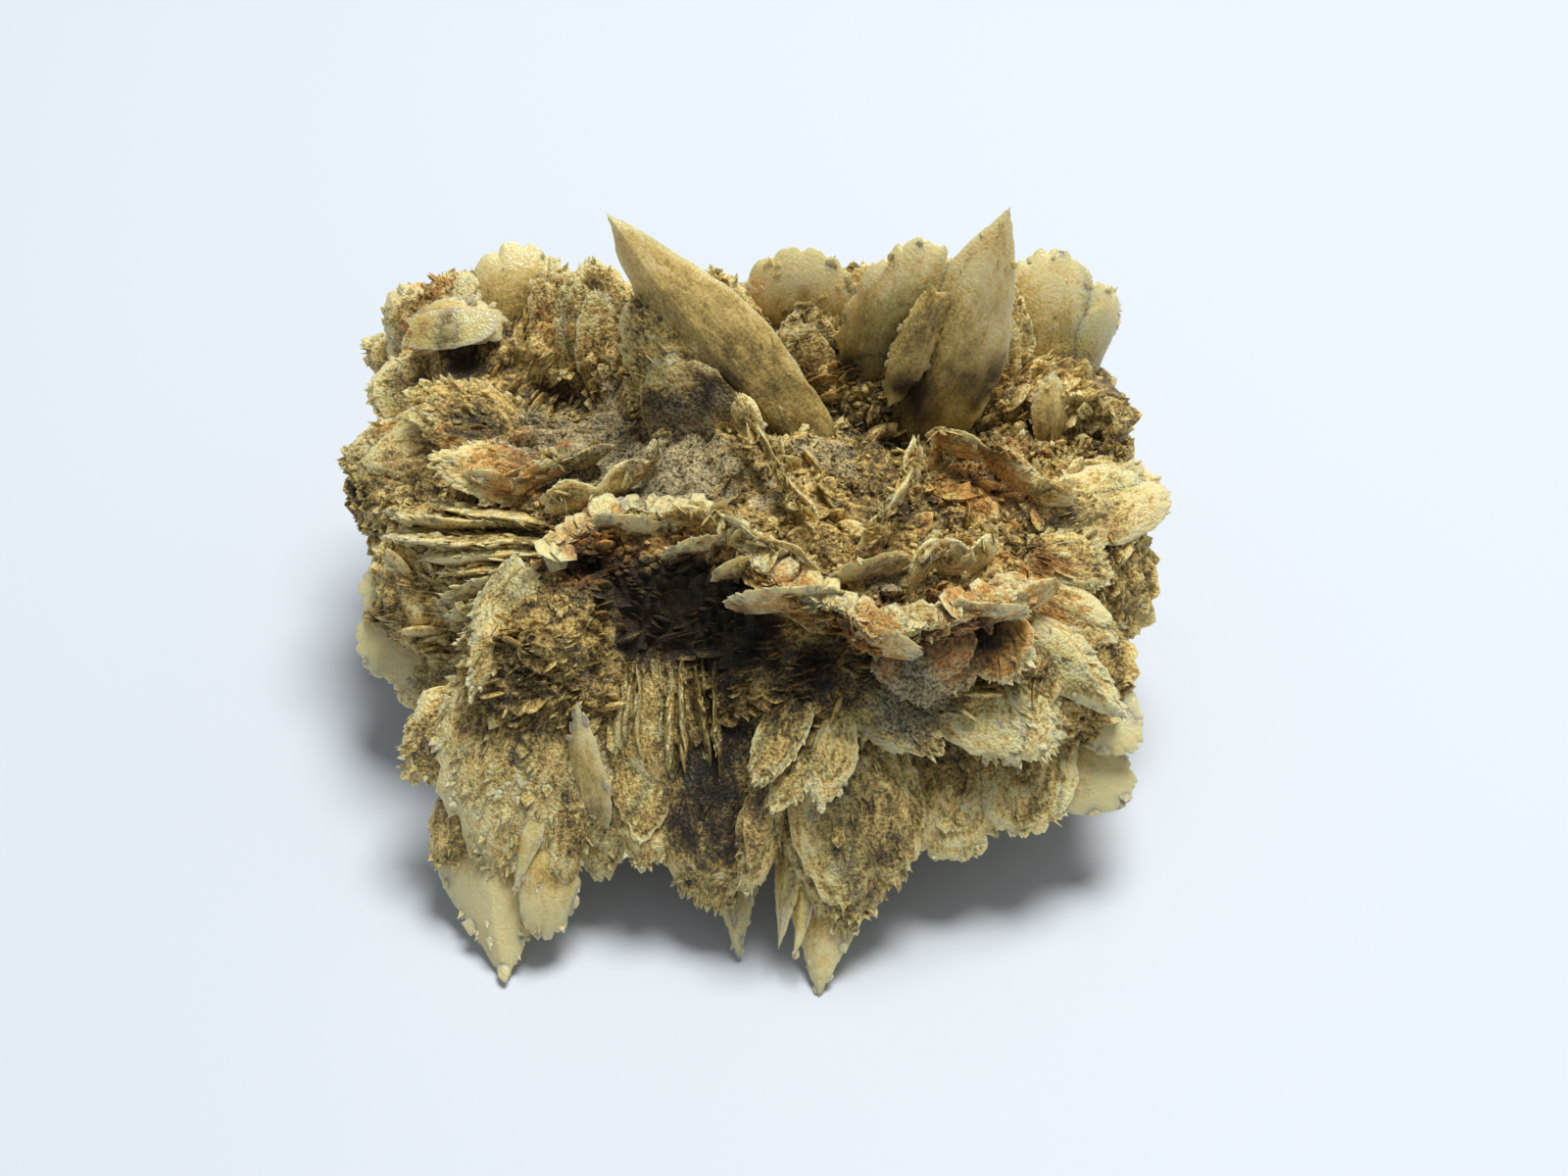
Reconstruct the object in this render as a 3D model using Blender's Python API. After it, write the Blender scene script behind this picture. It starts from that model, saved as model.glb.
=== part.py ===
"""Desert rose selenite: one intergrown cluster of lens-shaped gypsum crystals.

Millimetres in the tables, metres in Blender. +X is the long way, +Y is the back, +Z is up.
The cluster rests on a flat broken patch under its middle, at height zero.
"""

import math
import random

import bmesh
import bpy
from mathutils import Matrix, Vector, noise

MM = 0.001

NODE = "selenite_rose"
HONEY = (0.46, 0.36, 0.19, 1.0)

# Reach of the outermost crystal tips from the middle of the cluster
REACH_LEFT = -54
REACH_RIGHT = 54
REACH_FRONT = -41.5
REACH_BACK = 41.5

# Heights of the main levels
PLATEAU_TOP = 47
LEDGE_THICK = 9
HORN_TOP = 73

# How far the plateau drops per millimetre away from the middle, and where it begins and ends
PLATEAU_SLOPE = 0.12
PLATEAU_HALF_WIDTH = 46
PLATEAU_FRONT = -20
PLATEAU_BACK = 18
PLATEAU_ROUGH = 1.5

# The core: grid of its remeshed skin, share of faces kept, and height and size of its lumps
CORE_VOXEL = 2.4
CORE_KEEP = 0.13
CORE_LUMP = 3.2
CORE_LUMP_SIZE = 9.0

# Share of faces kept once every crystal is joined on
SKIN_KEEP = 0.7

# Loose-looking flakes on the plateau, which are grown fast like everything else
FLAKES = 34
FLAKE_SIZES = (4, 7)

# Directions that a broad crystal face can look
FRONT_UP = (0, -0.67, 0.74)
FLAT = (0, -0.25, 0.97)
SIDE = (1, 0.1, 0)
BACK_UP = (0, 0.7, 0.7)

# Outline of a crystal, as shares of its length and width: where it is widest, how it narrows
# towards the tip (a power), how blunt the tip is (less is blunter), and its width at the root
FORMS = {
    "spear": (0.35, 1.25, 1.0, 0.60),
    "horn": (0.48, 1.50, 1.0, 0.65),
    "lens": (0.50, 2.00, 0.85, 0.55),
    "disc": (0.45, 2.00, 0.50, 0.70),
}

# Forms whose edges run straight to a sharp tip
STRAIGHT = ("spear", "horn")

rng = random.Random(11)


def clear_scene():
    for old in list(bpy.data.objects):
        bpy.data.objects.remove(old, do_unlink=True)


def new_object(name, mesh):
    made = bpy.data.objects.new(name, mesh)
    bpy.context.scene.collection.objects.link(made)
    return made


def outline(form, along):
    """Half width of a crystal, as a share of its widest, at a share of its length."""
    widest, power, fullness, root = FORMS[form]
    if along < widest:
        return root + (1 - root) * math.sin(math.pi / 2 * along / widest)
    return (1 - ((along - widest) / (1 - widest)) ** power) ** fullness


def crystal(root, tip, width, thick, face=FRONT_UP, form="lens", rings=6, tooth=0.08, ridge=0.15):
    """One lens-shaped crystal with a sharp toothed edge and a ridge along both faces.

    root is sunk in the mass, and tip is the free end. face is the way its broad side looks,
    tooth is the depth of the notches in its edge, and ridge moves the ridge off the middle line.
    """
    start = Vector(root)
    reach = Vector(tip) - start
    along_way = reach.normalized()
    face_way = Vector(face)
    face_way = (face_way - along_way * face_way.dot(along_way)).normalized()
    across_way = face_way.cross(along_way)
    verts = []
    for ring in range(rings):
        share = ring / rings if form in STRAIGHT else math.sin(math.pi / 2 * ring / rings)
        notch = 1 + tooth * (-1) ** ring
        half = width / 2 * outline(form, share)
        height = thick / 2 * outline(form, share) ** 0.8
        middle = start + reach * share
        verts.append(middle + across_way * half * notch)
        verts.append(middle + across_way * half * ridge + face_way * height)
        verts.append(middle - across_way * half * (2 - notch))
        verts.append(middle + across_way * half * ridge - face_way * height)
    verts.append(Vector(tip))
    faces = [(3, 2, 1, 0)]
    for ring in range(rings - 1):
        for corner in range(4):
            a = 4 * ring + corner
            b = 4 * ring + (corner + 1) % 4
            faces.append((a, b, b + 4, a + 4))
    last = 4 * (rings - 1)
    for corner in range(4):
        faces.append((last + corner, last + (corner + 1) % 4, 4 * rings))
    mesh = bpy.data.meshes.new("blade")
    mesh.from_pydata([v * MM for v in verts], [], faces)
    shape = bmesh.new()
    shape.from_mesh(mesh)
    bmesh.ops.triangulate(shape, faces=shape.faces[:])
    bmesh.ops.recalc_face_normals(shape, faces=shape.faces[:])
    shape.to_mesh(mesh)
    shape.free()
    return new_object("blade", mesh)


def between(a, b, share):
    return Vector(a).lerp(Vector(b), share)


def row_of_blades(count, roots, tips, width, thick, face, form="lens", rings=5, wobble=0.6):
    """A comb or fan: blades side by side, from the first root and tip to the last."""
    for number in range(count):
        share = number / (count - 1)
        jog = Vector([rng.uniform(-wobble, wobble) for _ in range(3)])
        crystal(
            between(*roots, share),
            between(*tips, share) + jog,
            width * rng.uniform(0.85, 1.1),
            thick,
            face,
            form,
            rings,
        )


def lump(middle, radii):
    """A rounded lump of the core."""
    mesh = bpy.data.meshes.new("lump")
    shape = bmesh.new()
    bmesh.ops.create_icosphere(shape, subdivisions=2, radius=1)
    stretch = Matrix.Diagonal((radii[0] * MM, radii[1] * MM, radii[2] * MM, 1))
    bmesh.ops.transform(shape, matrix=Matrix.Translation(Vector(middle) * MM) @ stretch, verts=shape.verts)
    shape.to_mesh(mesh)
    shape.free()
    return new_object("lump", mesh)


def slab(corners, under_height):
    """A shelf with a ragged outline, its top corners going round it in plan."""
    mesh = bpy.data.meshes.new("slab")
    shape = bmesh.new()
    ring = [shape.verts.new((x * MM, y * MM, z * MM)) for x, y, z in corners]
    under = [shape.verts.new((x * MM, y * MM, under_height * MM)) for x, y, z in corners]
    shape.faces.new(ring)
    shape.faces.new(under[::-1])
    for here in range(len(corners)):
        there = (here + 1) % len(corners)
        shape.faces.new((ring[here], under[here], under[there], ring[there]))
    bmesh.ops.triangulate(shape, faces=shape.faces[:])
    bmesh.ops.recalc_face_normals(shape, faces=shape.faces[:])
    shape.to_mesh(mesh)
    shape.free()
    return new_object("slab", mesh)


def apply_modifier(thing, kind, **settings):
    """Adds one modifier to thing and keeps its result as the mesh."""
    modifier = thing.modifiers.new(kind.title(), kind)
    for key, value in settings.items():
        setattr(modifier, key, value)
    depsgraph = bpy.context.evaluated_depsgraph_get()
    result = bpy.data.meshes.new_from_object(thing.evaluated_get(depsgraph))
    thing.modifiers.clear()
    thing.data = result


def join(things, name):
    """All the meshes in one object, still as separate shells."""
    shape = bmesh.new()
    for thing in things:
        shape.from_mesh(thing.data)
        bpy.data.objects.remove(thing, do_unlink=True)
    mesh = bpy.data.meshes.new(name)
    shape.to_mesh(mesh)
    shape.free()
    return new_object(name, mesh)


def core():
    """The lumpy mass that every crystal is rooted in, with the undercut below the ledge."""
    lumps = [
        lump((0, 8, 24), (32, 24, 22)),
        lump((-24, 12, 26), (20, 20, 18)),
        lump((-34, 26, 27), (16, 14, 17)),
        lump((-42, 20, 27), (9, 10, 11)),
        lump((-38, 6, 24), (10, 10, 12)),
        lump((28, 8, 26), (20, 18, 18)),
        lump((42, 8, 27), (9, 11, 11)),
        lump((38, 22, 28), (12, 13, 18)),
        lump((20, 26, 30), (20, 12, 22)),
        lump((-4, 27, 30), (22, 11, 23)),
        lump((-28, 31, 32), (14, 9, 16)),
        lump((36, -9, 23), (12, 10, 12)),
        lump((-22, -8, 25), (13, 13, 14)),
        lump((8, -10, 22), (18, 12, 15)),
        lump((26, -8, 24), (14, 12, 13)),
        lump((2, 12, 8), (24, 18, 12)),
    ]
    mass = join(lumps, "mass")
    apply_modifier(mass, "REMESH", mode="VOXEL", voxel_size=CORE_VOXEL * MM)
    for vert in mass.data.vertices:
        place = vert.co / MM / CORE_LUMP_SIZE
        push = noise.fractal(place, 0.9, 2.1, 3)
        vert.co += vert.normal * push * CORE_LUMP * MM
    flatten_plateau(mass)
    apply_modifier(mass, "DECIMATE", ratio=CORE_KEEP)
    return mass


def plateau_level(x):
    """Height of the plateau, which slopes down a little to both sides."""
    return PLATEAU_TOP - abs(x) * PLATEAU_SLOPE


def flatten_plateau(mass):
    """Presses the middle of the mass down to a rough, slightly sloping table."""
    for vert in mass.data.vertices:
        x, y, z = vert.co / MM
        inside = abs(x) < PLATEAU_HALF_WIDTH and PLATEAU_FRONT < y < PLATEAU_BACK
        level = plateau_level(x) - 3 + PLATEAU_ROUGH * noise.noise(Vector((x, y, 0)) / 5)
        if inside and z > level:
            vert.co.z = level * MM


def ledge():
    """The overhanging lip of the plateau, its slab, and the thin curved rims that stand on it."""
    slab(
        [
            (-24, -2, 44), (-22, -5, 44), (-14, -1, 46), (-8, -4, 47), (-3, -6, 47), (1, -12, 47),
            (5, -16, 46), (11, -17, 46), (15, -21, 45), (24, -19, 45), (33, -14, 44), (35, -8, 42),
            (30, 2, 41), (10, 10, 44), (-18, 8, 43),
        ],
        PLATEAU_TOP - LEDGE_THICK,
    )
    rims = [
        ((-13, 3, 44), (-22, -5, 45), 9, 3),
        ((-9, 4, 45), (-12, -2, 48), 10, 2.5),
        ((-4, 2, 45), (1, -9, 49), 9, 2.5),
        ((5, -7, 45), (5, -17, 46), 14, 3),
        ((15, -5, 45), (15, -13, 48), 11, 2.5),
        ((11, -10, 44), (13, -21, 44), 11, 3.5),
        ((24, -9, 43), (24, -21, 43), 17, 4.5),
        ((25, -8, 43), (35, -15, 43), 12, 4),
    ]
    for root, tip, width, thick in rims:
        crystal(root, tip, width, thick, FLAT, "disc", rings=5)
    walls = [
        ((0, 13, 44), (-1, 14, 51), 5, 2.2, (1, -0.3, 0)),
        ((1, 8, 43), (2, 7, 52), 7, 2.2, (1, -0.1, 0)),
        ((4, 1, 43), (5, 0, 51), 8, 2.2, (1, 0.5, 0)),
        ((8, -5, 43), (9, -6, 50), 7, 2.2, (1, 0.6, 0)),
        ((20, 6, 43), (21, 6, 53), 7, 2.2, (1, -0.1, 0)),
        ((19, 0, 43), (19, -1, 52), 8, 2.2, (1, -0.4, 0)),
        ((14, -6, 43), (14, -7, 50), 8, 2.2, (1, -0.8, 0)),
        ((-12, 6, 42), (-13, 5, 51), 10, 2.4, (1, 0.15, 0)),
    ]
    for root, tip, width, thick, face in walls:
        crystal(root, tip, width, thick, face, "disc", rings=4)
    crystal((22, -10, 38), (15, -22, 33), 13, 3, (0.1, -0.8, 0.6), "lens", rings=4)
    crystal((24, -10, 38), (27, -22, 34), 12, 3, (0.1, -0.8, 0.6), "lens", rings=4)


def plateau_flakes():
    """Angular flakes scattered over the plateau and the slope up to the crown."""
    for _ in range(FLAKES):
        x = rng.uniform(-40, 46)
        y = rng.uniform(-8, 21)
        climb = max(0, y - 12) * 0.4
        start = Vector((x, y, plateau_level(x) - 4 + climb))
        lean = Vector((rng.uniform(-1, 1), rng.uniform(-1, 1), 1.1)).normalized()
        size = rng.uniform(*FLAKE_SIZES)
        look = (rng.uniform(-1, 1), rng.uniform(-1, 0.3), rng.uniform(-0.2, 0.6))
        crystal(start, start + lean * size, size, size * 0.45, look, "disc", rings=3)


def crown():
    """The upright blades along the back, with the two tall horns."""
    crystal((4, 20, 43), (-17, 25, HORN_TOP - 2), 13, 7, (0.1, -0.8, 0.6), "horn", rings=8, tooth=0.02)
    crystal((0, 13, 38), (-14, 22, 61), 15, 5, (-0.1, -0.85, 0.5), "lens", rings=6)
    crystal((2, 24, 42), (-4, 25, 62), 8, 4, (-0.2, -0.8, 0.5), "lens")
    crystal((20, 16, 36), (32, 23, HORN_TOP), 14, 8, (-0.2, -0.8, 0.5), "horn", rings=8, tooth=0.02, ridge=-0.3)
    crystal((16, 21, 42), (23, 24, 67), 15, 6, (0, -0.8, 0.6), "disc", rings=7)
    crystal((24, 20, 63), (17, 15, 46), 7, 5, (-0.3, -0.9, 0.3), "lens", tooth=0.12)
    crystal((8, 28, 44), (7, 29, 61), 16, 5, FRONT_UP, "disc", rings=7, tooth=0.06)
    crystal((14, 28, 44), (15, 30, 58), 10, 4, FRONT_UP, "disc")
    crystal((8, 21, 42), (6, 24, 56), 11, 4, FRONT_UP, "disc", rings=6, tooth=0.1)
    crystal((2, 26, 42), (1, 29, 57), 10, 5, FRONT_UP, "lens")
    crystal((-19, 26, 40), (-20, 34, 56), 11, 4, (0.1, -0.9, 0.4), "disc", rings=6, tooth=0.1)
    crystal((-24, 28, 38), (-25, 36, 54), 9, 5, FRONT_UP, "disc")
    crystal((-30, 32, 34), (-29, 39, 53), 15, 9, (-0.1, -0.7, 0.7), "disc", rings=6)
    crystal((-36, 32, 34), (-38, 39, 50), 11, 7, (-0.2, -0.7, 0.7), "disc")
    crystal((-33, 33, 40), (-38, 27, 46), 14, 3, (0, -0.3, 0.95), "disc", rings=5)
    crystal((-42, 36, 32), (-52, 39, 36), 8, 4, (-0.1, -0.6, 0.8), "lens")
    crystal((-38, 34, 34), (-47, 40, 45), 11, 7, (-0.3, -0.6, 0.75), "disc")
    crystal((36, 24, 36), (39, 33, 58), 15, 5, (0.1, -0.8, 0.6), "disc", rings=7)
    crystal((38, 26, 36), (46, 32, 53), 11, 5, (0.5, -0.7, 0.5), "disc", rings=6)
    crystal((32, 24, 38), (33, 30, 55), 9, 4, (-0.4, -0.8, 0.4), "disc")
    row_of_blades(4, ((36, 24, 44), (38, 26, 30)), ((50, 33, 45), (49, 27, 31)), 9, 2.6, (0.2, -0.5, 0.8))
    crystal((38, 14, 38), (38, 20, 49), 6, 4, FRONT_UP, "disc")


def left_side():
    """The rusty lobes at the left, the edge-on fan under them and the round lenses."""
    crystal((-34, 18, 38), (REACH_LEFT, 20, 32), 13, 7, (0.1, -0.4, 0.9), "lens", rings=7, tooth=0.1)
    crystal((-34, 26, 36), (-50, 29, 38), 13, 7, (0, -0.4, 0.9), "disc", rings=6)
    crystal((-32, 14, 36), (-50, 13, 30), 12, 6, (0.1, -0.5, 0.85), "disc", rings=6)
    crystal((-22, 8, 40), (-40, 8, 45), 9, 3, (0.1, -0.3, 0.95), "lens")
    crystal((-26, 16, 38), (-44, 20, 45), 12, 4, (0, -0.3, 0.95), "lens")
    row_of_blades(6, ((-26, 4, 36), (-28, 0, 22)), ((-49, 15, 31), (-49, 4, 16)), 10, 2.4, (0.5, 0.6, 0.7))
    crystal((-35, 1, 20), (-51, 3, 17), 13, 4, (-0.2, -0.75, 0.6), "disc", rings=7, tooth=0.03)
    crystal((-34, 2, 24), (-51, 8, 22), 9, 3.5, (-0.1, -0.75, 0.6), "disc")
    crystal((-32, -2, 20), (-46, -3, 12), 10, 4, (-0.2, -0.8, 0.5), "disc")
    crystal((-30, 8, 18), (-47, 14, 8), 14, 5, (-0.6, -0.4, 0.6), "lens")
    crystal((-30, 18, 20), (-50, 24, 14), 15, 5, (-0.6, -0.2, 0.7), "lens", rings=7)


def front():
    """The fans of large plates that run down the front slope to the tips."""
    crystal((-20, -2, 40), (-31, -34, 4), 26, 8, (-0.1, -0.75, 0.64), "lens", rings=8, tooth=0.06)
    crystal((-31, -20, 22), (-30, -39, 0), 12, 7, (-0.2, -0.7, 0.65), "spear", rings=7, ridge=0.3, tooth=0.05)
    crystal((-30, -12, 26), (-43, -20, 16), 12, 4, (-0.2, -0.7, 0.65), "lens", rings=6, tooth=0.12)
    crystal((-30, -18, 19), (-39, -28, 8), 10, 4, (-0.3, -0.7, 0.6), "lens", rings=6, tooth=0.12)
    crystal((-18, -12, 36), (-18, -29, 8), 10, 5, (0.1, -0.75, 0.64), "disc", rings=7)
    crystal((-18, -15, 36), (-22, -27, 16), 6, 4, (0.5, -0.7, 0.5), "spear", rings=6)
    crystal((-21, -22, 22), (-26, -35, 5), 6, 4, (0.5, -0.7, 0.5), "lens", rings=6)
    crystal((-25, -12, 37), (-29, -20, 31), 6, 3, (0.3, -0.8, 0.5), "spear")
    crystal((-16, -6, 40), (-26, -14, 38), 9, 2.5, (0.5, -0.3, 0.8), "lens")
    row_of_blades(6, ((-14, -6, 38), (-4, -8, 38)), ((-15, -22, 18), (-2, -25, 16)), 12, 3.4, SIDE, rings=4)
    crystal((-3, -14, 34), (-4, -33, 6), 18, 7, (0, -0.75, 0.66), "lens", rings=8)
    crystal((-2, -22, 16), (-1, -36, 1), 6, 5, (-0.2, -0.75, 0.6), "spear", rings=5)
    crystal((-6, -20, 18), (-8, -32, 8), 6, 3, (-0.5, -0.7, 0.5), "lens", tooth=0.12)
    crystal((12, -14, 34), (12, -37, 5), 17, 7, (0.1, -0.75, 0.66), "lens", rings=8)
    crystal((11, -24, 20), (9, REACH_FRONT, 0), 9, 7, (-0.25, -0.75, 0.6), "spear", rings=7, ridge=0.25)
    crystal((7, -22, 20), (4, -38, 5), 5, 3, (-0.4, -0.7, 0.5), "spear", rings=6, tooth=0.15)
    crystal((9, -22, 19), (6, -39, 4), 5, 3, (-0.4, -0.7, 0.5), "spear", rings=6, tooth=0.15)
    crystal((4, -22, 25), (0, -35, 12), 6, 4, (0.3, -0.7, 0.6), "lens", rings=6)
    crystal((6, -15, 38), (-3, -29, 26), 10, 3, (-0.3, -0.6, 0.75), "lens", tooth=0.1)
    crystal((11, -16, 36), (-1, -31, 23), 9, 3, (-0.3, -0.6, 0.75), "lens", tooth=0.1)
    crystal((13, -16, 36), (7, -30, 24), 9, 3, (-0.2, -0.6, 0.75), "lens", tooth=0.1)
    crystal((14, -20, 26), (19, -33, 10), 10, 4, (0.1, -0.75, 0.66), "lens", tooth=0.1)
    crystal((-10, -16, 24), (-13, -31, 12), 10, 4, (0, -0.75, 0.66), "lens", tooth=0.1)


def right_side():
    """The shelf of honey lenses low at the right, and the lobes above it."""
    crystal((10, -14, 33), (24, -24, 26), 9, 3, (-0.1, -0.6, 0.8), "lens")
    crystal((24, -12, 32), (38, -23, 24), 14, 4, (0, -0.6, 0.8), "lens", rings=6)
    crystal((38, -10, 21), (28, -22, 17), 9, 3, (-0.2, -0.5, 0.85), "lens")
    crystal((30, -16, 20), (49, -20, 14), 12, 5, (0.1, -0.6, 0.8), "disc", rings=7)
    crystal((32, -12, 22), (36, -27, 14), 14, 4, (0.1, -0.6, 0.8), "disc", rings=6)
    crystal((26, -12, 22), (25, -29, 11), 17, 5, (0, -0.6, 0.8), "disc", rings=7, tooth=0.1)
    crystal((32, -10, 36), (48, -20, 26), 8, 5, (0, -0.6, 0.8), "spear", rings=6, ridge=-0.2)
    crystal((36, -8, 26), (49, -18, 20), 10, 4, (0.1, -0.6, 0.8), "disc")
    crystal((32, -4, 38), (47, -9, 31), 13, 5, (0.2, -0.4, 0.9), "disc", rings=6)
    crystal((36, 4, 38), (REACH_RIGHT, 14, 34), 12, 6, (0.1, -0.5, 0.85), "disc", rings=7)
    crystal((36, 4, 36), (52, 8, 29), 9, 3, (0.1, -0.6, 0.8), "lens", rings=6)
    crystal((34, 2, 32), (50, 3, 24), 9, 4, (0.1, -0.6, 0.8), "lens", rings=6)
    crystal((34, 16, 36), (49, 21, 38), 12, 5, (0.1, -0.5, 0.85), "disc", rings=6)
    crystal((34, 0, 24), (50, -6, 14), 13, 5, (0.5, -0.5, 0.7), "lens", rings=6)
    crystal((34, 14, 20), (52, 18, 16), 15, 5, (0.6, -0.1, 0.8), "lens", rings=6)


def back():
    """The fans on the side that the photograph does not show, grown like those at the front."""
    crystal((-30, 30, 26), (-44, 40, 18), 16, 6, (-0.4, 0.7, 0.6), "lens", rings=7)
    crystal((-24, 30, 30), (-28, REACH_BACK, 14), 16, 6, (-0.1, 0.8, 0.6), "lens", rings=7)
    crystal((-12, 32, 34), (-14, 41, 30), 16, 5, BACK_UP, "disc", rings=6)
    crystal((-8, 28, 24), (-10, 40, 8), 18, 6, (0, 0.8, 0.6), "lens", rings=7)
    crystal((4, 32, 40), (2, 40, 44), 14, 5, (0, 0.6, 0.8), "disc", rings=6)
    crystal((6, 30, 28), (6, REACH_BACK, 20), 18, 6, (0.1, 0.8, 0.6), "lens", rings=7)
    crystal((8, 26, 18), (8, 38, 4), 15, 6, (0, 0.8, 0.6), "spear", rings=6)
    crystal((20, 30, 34), (22, 41, 34), 15, 5, (0, 0.5, 0.85), "disc", rings=6)
    crystal((22, 28, 26), (26, 41, 14), 17, 6, (0.2, 0.8, 0.6), "lens", rings=7)
    crystal((32, 28, 34), (40, 39, 30), 15, 5, (0.3, 0.7, 0.6), "disc", rings=6)
    crystal((30, 22, 20), (44, 32, 8), 15, 6, (0.4, 0.6, 0.6), "lens", rings=6)
    crystal((-20, 20, 18), (-34, 32, 4), 15, 6, (-0.4, 0.6, 0.6), "spear", rings=6)


def union(base, others):
    """One closed solid of base and every blade."""
    group = bpy.data.collections.new("blades")
    for other in others:
        group.objects.link(other)
    apply_modifier(
        base,
        "BOOLEAN",
        operation="UNION",
        solver="EXACT",
        operand_type="COLLECTION",
        collection=group,
        use_self=True,
    )
    for other in list(others):
        bpy.data.objects.remove(other, do_unlink=True)
    bpy.data.collections.remove(group)


def keep_outer_skin(thing):
    """Drops the small shells that overlapping crystals seal off inside the mass."""
    shape = bmesh.new()
    shape.from_mesh(thing.data)
    unseen = set(shape.verts)
    shells = []
    while unseen:
        shell = {unseen.pop()}
        edge = list(shell)
        while edge:
            here = edge.pop()
            for link in here.link_edges:
                there = link.other_vert(here)
                if there in unseen:
                    unseen.remove(there)
                    shell.add(there)
                    edge.append(there)
        shells.append(shell)
    outer = max(shells, key=len)
    bmesh.ops.delete(shape, geom=[vert for vert in shape.verts if vert not in outer], context="VERTS")
    shape.to_mesh(thing.data)
    shape.free()


def cut_flat(thing):
    """Cuts everything below height zero away, which leaves the flat patch that it rests on."""
    shape = bmesh.new()
    shape.from_mesh(thing.data)
    below = bmesh.ops.bisect_plane(
        shape,
        geom=shape.verts[:] + shape.edges[:] + shape.faces[:],
        plane_co=(0, 0, 0),
        plane_no=(0, 0, -1),
        clear_outer=True,
    )
    edges = [cut for cut in below["geom_cut"] if isinstance(cut, bmesh.types.BMEdge)]
    bmesh.ops.triangle_fill(shape, edges=edges, use_beauty=True)
    bmesh.ops.recalc_face_normals(shape, faces=shape.faces[:])
    shape.to_mesh(thing.data)
    shape.free()


def centre_on_box(thing):
    """Puts the middle of the cluster's box over the origin, with its lowest point at height zero."""
    low = Vector([min(vert.co[axis] for vert in thing.data.vertices) for axis in range(3)])
    high = Vector([max(vert.co[axis] for vert in thing.data.vertices) for axis in range(3)])
    middle = (low + high) / 2
    thing.data.transform(Matrix.Translation((-middle.x, -middle.y, -low.z)))


def material():
    made = bpy.data.materials.new("selenite")
    made.use_nodes = True
    shader = made.node_tree.nodes["Principled BSDF"]
    shader.inputs["Base Color"].default_value = HONEY
    shader.inputs["Roughness"].default_value = 0.45
    shader.inputs["Metallic"].default_value = 0.0
    return made


clear_scene()
rose = core()
ledge()
plateau_flakes()
crown()
left_side()
front()
right_side()
back()
union(rose, [thing for thing in bpy.data.objects if thing != rose])
keep_outer_skin(rose)
apply_modifier(rose, "DECIMATE", ratio=SKIN_KEEP)
cut_flat(rose)
centre_on_box(rose)
rose.name = NODE
rose.data.name = NODE
rose.data.materials.clear()
rose.data.materials.append(material())
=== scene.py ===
# %% [markdown]
# # Desert rose selenite
# A desert rose is gypsum that grew in wet sand. Each crystal is a lens with a sharp rim, hundreds of
# them grow through each other, and the sand stays caught between them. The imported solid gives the
# size and the places of the main crystals. This notebook grows the same crystals again with their
# fine surface, adds the small ones, and dresses them.

# %% Load the frame
import itertools
import math
import random

import bpy
import numpy as np
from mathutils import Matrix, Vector


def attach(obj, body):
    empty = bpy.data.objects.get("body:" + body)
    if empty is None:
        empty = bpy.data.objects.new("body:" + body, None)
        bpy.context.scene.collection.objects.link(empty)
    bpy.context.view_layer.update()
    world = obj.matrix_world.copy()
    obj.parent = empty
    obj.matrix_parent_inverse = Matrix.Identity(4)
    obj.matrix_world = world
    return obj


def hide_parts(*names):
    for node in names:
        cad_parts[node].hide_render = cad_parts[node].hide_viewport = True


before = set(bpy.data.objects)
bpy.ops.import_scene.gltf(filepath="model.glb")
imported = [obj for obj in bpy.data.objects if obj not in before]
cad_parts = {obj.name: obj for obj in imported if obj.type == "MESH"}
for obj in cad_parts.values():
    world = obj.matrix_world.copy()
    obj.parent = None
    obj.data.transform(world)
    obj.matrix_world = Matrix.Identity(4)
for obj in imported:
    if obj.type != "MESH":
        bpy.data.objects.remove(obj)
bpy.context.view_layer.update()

MM = 0.001
NODE = "selenite_rose"

# %% [markdown]
# ## Camera
# The photograph looks down on the specimen at about 48 degrees from a hand's distance away. A 60 mm
# lens at 330 mm gives the same mild perspective. The camera is aimed at a point inside the cluster.

# %% Camera
AIM = Vector((4.7, 0, 30)) * MM
DISTANCE = 330 * MM
ELEVATION = math.radians(48)
LENS = 60
SENSOR_WIDTH = 36
NEAREST_SEEN = 10 * MM

camera_data = bpy.data.cameras.new("camera")
camera_data.lens = LENS
camera_data.sensor_width = SENSOR_WIDTH
camera_data.clip_start = NEAREST_SEEN
camera = bpy.data.objects.new("camera", camera_data)
bpy.context.scene.collection.objects.link(camera)
back_along_view = Vector((0, -math.cos(ELEVATION), math.sin(ELEVATION)))
camera.location = AIM + back_along_view * DISTANCE
camera.rotation_euler = (-back_along_view).to_track_quat("-Z", "Y").to_euler()
bpy.context.scene.camera = camera
print("camera at mm", [round(c / MM) for c in camera.location])

# %% [markdown]
# ## Stage and light
# A pale bluish-white table, a wide soft lamp above and a little behind, and an even sky give the
# soft shadows of the photograph.

# %% Stage and light
TABLE_WHITE = (0.60, 0.645, 0.705, 1)
SKY_WHITE = (0.86, 0.93, 1.0, 1)
SKY_STRENGTH = 0.31
TABLE_WIDTH = 6
TABLE_ROUGHNESS = 0.6
# The lamp is a disc, in metres and watts
LAMP_PLACE = Vector((0.17, 0.27, 1.10))
LAMP_AIM = Vector((0, 0, 0.03))
LAMP_SIZE = 0.52
LAMP_POWER = 15.2
LAMP_WHITE = (1.0, 0.99, 0.96)


def deselect():
    bpy.ops.object.select_all(action="DESELECT")


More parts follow.
